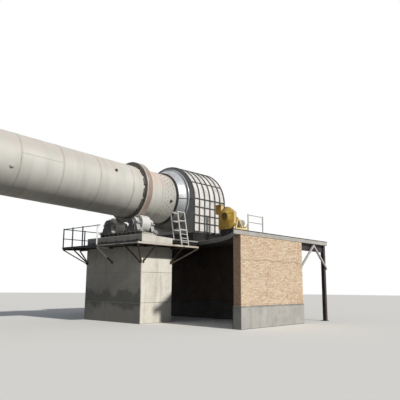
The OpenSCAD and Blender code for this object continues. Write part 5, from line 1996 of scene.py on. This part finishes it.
@dataclass
class Walkways(Assembly):
    """The walkways round the piers, with brackets and handrails."""

    deck_tops: tuple[float, float] = (3.399, 3.995)
    pier_places: tuple[float, float] = (0.0, -16.4893)
    pier_half: tuple[float, float] = (0.9365, 2.015)
    reach: tuple[float, float, float] = (0.90, 0.785, 0.93)
    deck_edge: float = 0.08
    deck_seat: float = 0.02
    bracket: tuple[float, float, float] = (0.66, 0.05, 0.058)

    def spans(self) -> list[tuple[float, float, float, float, float]]:
        """Gives the low X, high X, low Y, high Y and top of every deck plate."""
        spans = []
        for top, x in zip(self.deck_tops, self.pier_places):
            x0 = x - self.pier_half[0] - self.reach[0] + 0.004
            x1 = x + self.pier_half[0] + self.reach[2] - 0.004
            y_in, y_out = self.pier_half[1] + 0.004, self.pier_half[1] + self.reach[1] - 0.004
            step_x, step_y = (x1 - x0) / 4, y_in / 2
            for step in range(4):
                for low_y, high_y in ((-y_out, -y_in), (y_in, y_out)):
                    spans.append((x0 + step * step_x, x0 + (step + 1) * step_x - 0.006, low_y, high_y, top))
                low = -y_in + step * step_y
                spans.append((x0, x - self.pier_half[0] - 0.004, low, low + step_y - 0.006, top))
        return spans

    def plates(self) -> None:
        """Adds the decks' plates, with gaps between them and raised bars for grip."""
        build = Builder()
        lines = []
        for low_x, high_x, low_y, high_y, top in self.spans():
            build.box((low_x, low_y, top - 0.002), (high_x, high_y, top + 0.006))
            for step in range(int((high_x - low_x) / 0.09)):
                x = low_x + 0.05 + step * 0.09
                lines.append([(x, low_y + 0.03, top + 0.006), (x, high_y - 0.03, top + 0.006)])
        self.make(build, "deck_plates", "deck_paint")
        self.bars("deck_grips", "deck_paint", lines, 0.004, step=0.6, sides=4)

    def lips(self) -> None:
        """Adds the angle bars along the decks' near edges, rubbed pale."""
        build = Builder()
        for top, x in zip(self.deck_tops, self.pier_places):
            low, high = x - self.pier_half[0] - self.reach[0], x + self.pier_half[0] + self.reach[2]
            near = -self.pier_half[1] - self.reach[1]
            build.box((low, near - 0.006, top - 0.076), (high, near + 0.002, top + 0.010))
            build.box((low - 0.006, near, top - 0.060), (low + 0.002, 0.0, top - 0.022))
            build.box((low, near - 0.006, top + 0.003), (high, near + 0.055, top + 0.010))
        self.make(build, "deck_lips", "worn_steel")

    def repainted(self) -> None:
        """Adds the white paint of one post and of the bracket under it."""
        build = Builder()
        top, x = self.deck_tops[0], -self.pier_half[0] - self.reach[0]
        build.rod((x + 0.034, 0.05, top + 0.012), (x + 0.034, 0.05, top + 0.9), 0.0315, 16)
        self.make(build, "white_post", "white_paint")
        build = Builder()
        half, bar, deep = self.bracket[1] / 2 + 0.003, self.bracket[2], self.bracket[0]
        under = top - self.deck_edge
        build.box((x + 0.018, -half, under - bar - 0.003), (x + 0.66, half, under - 0.001))
        slope = deep / (self.reach[0] - self.deck_seat)
        end = 0.56
        outline = [(x + self.deck_seat - 0.003, under), (x + self.deck_seat - 0.003, under - bar - 0.004),
                   (x + self.deck_seat + end, under - bar - 0.004 - slope * end),
                   (x + self.deck_seat + end, under + 0.004 - slope * end)]
        build.loft([[(px, side * half, pz) for px, pz in outline] for side in (-1, 1)])
        self.make(build, "white_bracket", "chalk_paint")

    def build(self) -> None:
        """Builds the walkways."""
        self.dress("deck_paint", "walkway_decks")
        self.dress("bracket_paint", "walkway_brackets")
        self.refine("rail_paint", "walkway_handrails")
        self.plates()
        self.lips()
        self.repainted()


@dataclass
class Platform(Assembly):
    """The burner platform on its brick walls, posts and struts."""

    wall_length: float = 4.52
    wall_out: float = 6.68
    wall_thick: float = 0.37
    far_edge: float = 2.36
    wall_low: float = 0.86
    wall_high: float = 3.56
    tongue: tuple[float, float, float] = (0.9365, 2.68, 2.0)
    brick_length: float = 0.2511
    course: float = 0.0628
    joint: float = 0.011
    relief: float = 0.012

    def brickwork(self) -> None:
        """Lays the bricks on every face of the walls."""
        out, thick, length = self.wall_out, self.wall_thick, self.wall_length
        inner, edge = length - thick, self.far_edge
        faces = [((0.0, -out), 0.0, length), ((length, out), 180.0, length - edge),
                 ((length, -out), 90.0, 2 * out), ((0.0, -out + thick), -90.0, thick),
                 ((edge, out), -90.0, thick),
                 ((inner, -out + thick), 180.0, inner), ((edge, out - thick), 0.0, inner - edge),
                 ((inner, out - thick), -90.0, 2 * (out - thick))]
        rows = round((self.wall_high - self.wall_low) / self.course)
        pieces = []
        for number, ((x, y), turn, width) in enumerate(faces):
            columns = max(3, round(width / self.brick_length))
            place = Matrix.Translation((x, y, self.wall_low)) @ Matrix.Rotation(math.radians(turn), 4, "Z")
            pieces.append(grow(f"bricks_{number}", brick_tree(), self.finishes["brick"],
                               {"Columns": columns, "Rows": rows, "Length": width / columns,
                                "Height": (self.wall_high - self.wall_low) / rows, "Joint": self.joint,
                                "Relief": self.relief, "Seed": 11 + number}, places=[place]))
        settle(join_pieces("bricks", pieces), Body.ROOT, "brick")

    def tongue_beams(self) -> None:
        """Adds the channels along the tongue's sides and the strip along the slab's near edge."""
        build = Builder()
        edge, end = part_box("platform_slab")
        build.box((edge.x + 0.05, edge.y - 0.006, end.z - 0.022), (end.x, edge.y + 0.002, end.z + 0.008))
        build.box((edge.x + 0.05, edge.y - 0.006, end.z - 0.002), (end.x, edge.y + 0.06, end.z + 0.008))
        low, high = self.tongue[0] + 0.01, self.tongue[1]
        for side in (-1, 1):
            for z0, z1, out in ((0.0, 0.125, 0.012), (0.0, 0.014, 0.05), (0.111, 0.125, 0.05)):
                faces = sorted((side * (self.tongue[2] - 0.002), side * (self.tongue[2] + out)))
                build.box((low, faces[0], self.wall_high + z0), (high, faces[1], self.wall_high + z1))
        self.make(build, "tongue_beams", "black_steel")

    def build(self) -> None:
        """Builds the platform."""
        self.dress("mortar", "brick_walls")
        self.brickwork()
        self.tongue_beams()
        self.refine("slab_concrete", "platform_slab", bevel=0.012)
        self.refine("plinth_concrete", "wall_plinth", bevel=0.015)
        self.dress("maroon_steel", "platform_posts")
        self.dress("grey_steel", "platform_braces")
        self.dress("dark_steel", "discharge_collar")


def join_pieces(name: str, pieces: Sequence[Piece]) -> Piece:
    """Joins several mesh objects into one.

    Args:
        name: Name of the joined object.
        pieces: The objects, which are removed.

    Returns:
        The joined object.
    """
    first = pieces[0]
    mesh = bmesh.new()
    for piece in pieces:
        mesh.from_mesh(piece.data)
    mesh.to_mesh(first.data)
    mesh.free()
    for piece in pieces[1:]:
        shape = piece.data
        bpy.data.objects.remove(piece)
        bpy.data.meshes.remove(shape)
    first.name = name
    first.data.name = name
    return first


# ---------------------------------------------------------------------------
# The hood, its sleeve and the blower


@dataclass
class Hood(Assembly):
    """The discharge hood with its panels, hoops, sleeve and seals."""

    x0: float = 2.52
    x1: float = 4.908
    radius: float = 1.859
    spring: float = 5.843
    base: float = 4.19
    bay: float = 0.398
    bays: int = 6
    hoop: float = 0.045
    cone: tuple[tuple[float, float], tuple[float, float]] = ((2.0, 1.31), (2.45, 1.587))
    joint_z: float = 5.888
    flange: float = 0.014
    port_z: float = 5.873
    port_reach: float = 0.40

    def vault(self, radius: float, steps: int) -> list[tuple[float, float]]:
        """Gives the hood's outline across and up, from the near foot over the crown.

        Args:
            radius: The outline's radius.
            steps: The number of steps round the crown.

        Returns:
            The points.
        """
        turns = (math.pi * step / steps for step in range(steps + 1))
        crown = [(-radius * math.cos(turn), self.spring + radius * math.sin(turn)) for turn in turns]
        return [(-radius, self.base)] + crown + [(radius, self.base)]

    def sleeve_joints(self) -> None:
        """Adds the flanges where the sleeve's and the front plate's halves meet."""
        build = Builder()
        (x0, r0), (x1, r1) = self.cone
        low, high = self.joint_z - self.flange, self.joint_z + self.flange
        for side in (-1, 1):
            build.loft([[(x, side * (r + out), z) for out, z in (
                (-0.004, low), (0.034, low), (0.034, high), (-0.004, high))] for x, r in ((x0, r0), (x1, r1))])
            faces = sorted((side * (r1 + 0.03), side * (self.radius - 0.01)))
            build.box((self.x0 - 0.022, faces[0], low), (self.x0 + 0.002, faces[1], high))
        self.make(build, "sleeve_joints", "dark_steel", bevel=0.002)

    def hoop_bolts(self) -> None:
        """Adds the bolts along the hoops."""
        rows, aims = [], []
        line = self.vault(self.radius + self.hoop, 48)
        inner = [self.x0 + index * self.bay for index in range(1, self.bays)]
        for x in (self.x0 + 0.03, *inner, self.x1 - 0.03):
            rows.append([(x, y, z) for y, z in line])
            aims.append([(0, -1, 0), *((0.0, y, z - self.spring) for y, z in line[1:-1]), (0, 1, 0)])
        self.bolt_line("hoop_bolts", "bolt", rows, aims, 0.24, 0.011)

    def back(self) -> None:
        """Adds the back wall's stiffeners and the bolts of the burner port."""
        build = Builder()
        low, high = self.x1 - 0.002, self.x1 + 0.05
        for y in (-1.45, -0.8, 0.8, 1.45):
            top = self.spring + math.sqrt(self.radius ** 2 - y * y) - 0.06
            build.box((low, y - 0.006, self.base), (high, y + 0.006, top))
        for z in (4.665, 5.25, 6.55):
            half = math.sqrt(self.radius ** 2 - max(0.0, z - self.spring) ** 2) - 0.03
            build.box((low, -half, z - 0.006), (high - 0.01, half, z + 0.006))
        self.make(build, "back_ribs", "dark_steel")
        port = [Matrix.Translation((self.x1 + self.port_reach, 0.0, self.port_z)) @ TO_X]
        self.bolts("burner_port_bolts", "bolt", port, 12, 0.308, 0.015)

    def build(self) -> None:
        """Builds the hood."""
        self.back()
        self.refine("white_panel", "hood_casing")
        self.refine("plate_paint", "hood_front_plate")
        self.refine("dark_steel", "hood_bands")
        self.refine("dark_steel", "hood_back_wall")
        self.refine("black_steel", "hood_base_frame", bevel=0.004)
        self.refine("sleeve_sheet", "inlet_sleeve")
        self.refine("black_seal", "end_seals")
        self.refine("dark_steel", "burner_port")
        self.sleeve_joints()
        self.hoop_bolts()


@dataclass
class Blower(Assembly):
    """The blower beside the hood, with its frame and motor."""

    x0: float = 3.40
    x1: float = 3.58
    shaft_y: float = -3.11
    shaft_z: float = 4.95
    inlet: float = 0.20

    def guard(self) -> None:
        """Adds the wire guard in the inlet."""
        place = Matrix.Translation((self.x0 - 0.03, self.shaft_y, self.shaft_z)) @ TO_X
        wires = {"Rings": 5, "Spokes": 8, "Radius": self.inlet + 0.004, "Wire": 0.004}
        piece = grow("inlet_guard", guard_tree(), self.finishes["black_steel"], wires, places=[place])
        settle(piece, Body.ROOT, "black_steel")

    def edges(self) -> None:
        """Adds the pale strips along the casing's sunlit edges, a painted highlight, and the ribs across its near
        side.
        """
        build = Builder()
        y, z = self.shaft_y, self.shaft_z
        for strip in (((-0.565, -0.36), (-0.565, 0.16), (-0.165, 0.45),
                       (-0.167, 0.454), (-0.569, 0.162), (-0.569, -0.36)),
                      ((0.24, 0.255), (0.24, 0.595), (0.236, 0.595), (0.236, 0.255))):
            build.loft([[(x, y + across, z + up) for across, up in strip]
                        for x in (self.x0 + 0.013, self.x1 - 0.013)])
        self.make(build, "casing_edges", "rim_paint")
        build = Builder()
        for up, near, far in ((0.14, -0.58, -0.05), (-0.25, -0.575, 0.36)):
            build.box((self.x0 - 0.012, y + near, z + up - 0.016), (self.x0 + 0.002, y + far, z + up + 0.016))
        build.box((self.x0 - 0.012, y - 0.50, z - 0.234), (self.x0 + 0.002, y - 0.47, z + 0.124))
        self.make(build, "casing_ribs", "yellow_paint", bevel=0.002)

    def build(self) -> None:
        """Builds the blower."""
        self.refine("yellow_paint", "blower_casing")
        self.edges()
        self.dress("frame_yellow", "blower_frame")
        self.dress("black_steel", "blower_stand")
        self.refine("motor_paint", "blower_motor")
        self.guard()


@dataclass
class FeedEnd(Assembly):
    """The feed housing at the high end, with its frame, chute and hopper."""

    outlet_x: float = -22.866
    chute_x: float = -21.816
    column: float = 0.26

    def stiffeners(self) -> None:
        """Adds the housing's stiffeners, the hopper's flange, the columns' feet and the flanges' bolts."""
        build = Builder()
        low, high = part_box("feed_housing")
        half, top, foot = high.y, low.z + 2 * high.y, low.z
        for side in (-1, 1):
            deep, shallow = (sorted((side * (half - 0.002), side * (half + out))) for out in (0.07, 0.05))
            for step in range(6):
                x = low.x + 0.01 + step * (high.x - low.x - 0.032) / 5
                build.box((x, deep[0], foot + 0.01), (x + 0.012, deep[1], top - 0.01))
            for z in (foot + 0.01, foot + 1.15, foot + 2.33, top - 0.022):
                build.box((low.x + 0.02, shallow[0], z), (high.x - 0.02, shallow[1], z + 0.012))
            for y in (side * 1.0, side * 1.55):
                build.box((low.x + 0.01, y - 0.006, top - 0.002), (high.x - 0.01, y + 0.006, top + 0.06))
            build.box((high.x - 0.002, side * 1.6 - 0.006, foot + 0.02),
                      (high.x + 0.06, side * 1.6 + 0.006, top - 0.02))
        low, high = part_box("feed_hopper")
        middle = (low.x + high.x) / 2
        build.box((middle - 0.28, -0.28, low.z), (middle + 0.28, 0.28, low.z + 0.022))
        self.make(build, "housing_ribs", "housing_paint", bevel=0.001)
        build = Builder()
        low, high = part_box("feed_frame")
        out = 0.035
        for x in (low.x, high.x - self.column):
            for y in (low.y, high.y - self.column):
                build.box((x - out, y - out, 0.0), (x + self.column + out, y + self.column + out, 0.024))
        self.make(build, "column_feet", "frame_blue", bevel=0.003)
        outlet = Matrix.Translation((self.outlet_x, 0.0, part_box("feed_housing")[1].z))
        self.bolts("outlet_bolts", "bolt", [outlet], 24, 0.65, 0.016)
        chute = Matrix.Translation((self.chute_x, 0.0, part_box("feed_chute")[0].z + 0.03))
        self.bolts("chute_bolts", "bolt", [chute], 8, 0.22, 0.014)

    def build(self) -> None:
        """Builds the feed end."""
        self.stiffeners()
        self.refine("housing_paint", "feed_housing", bevel=0.006)
        self.dress("housing_paint", "feed_hopper")
        self.refine("galvanised", "feed_chute")
        self.dress("frame_blue", "feed_frame")


def main() -> None:
    """Builds the scene."""
    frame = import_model()
    line = KilnLine()
    Studio().build()
    finishes = make_finishes(line)
    for kind in (Shell, Tyres, Supports, Drive, Piers, Walkways, Platform, Hood, Blower, FeedEnd):
        LOG.info("building %s", kind.__name__)
        kind(frame, finishes, line).build()
    rest = Assembly(frame, finishes, line)
    rest.dress("stand_paint", "access_stand")
    rest.dress("grey_steel", "platform_rail")


if __name__ == "__main__":
    logging.basicConfig(level=logging.INFO, format="%(name)s: %(message)s")
    main()
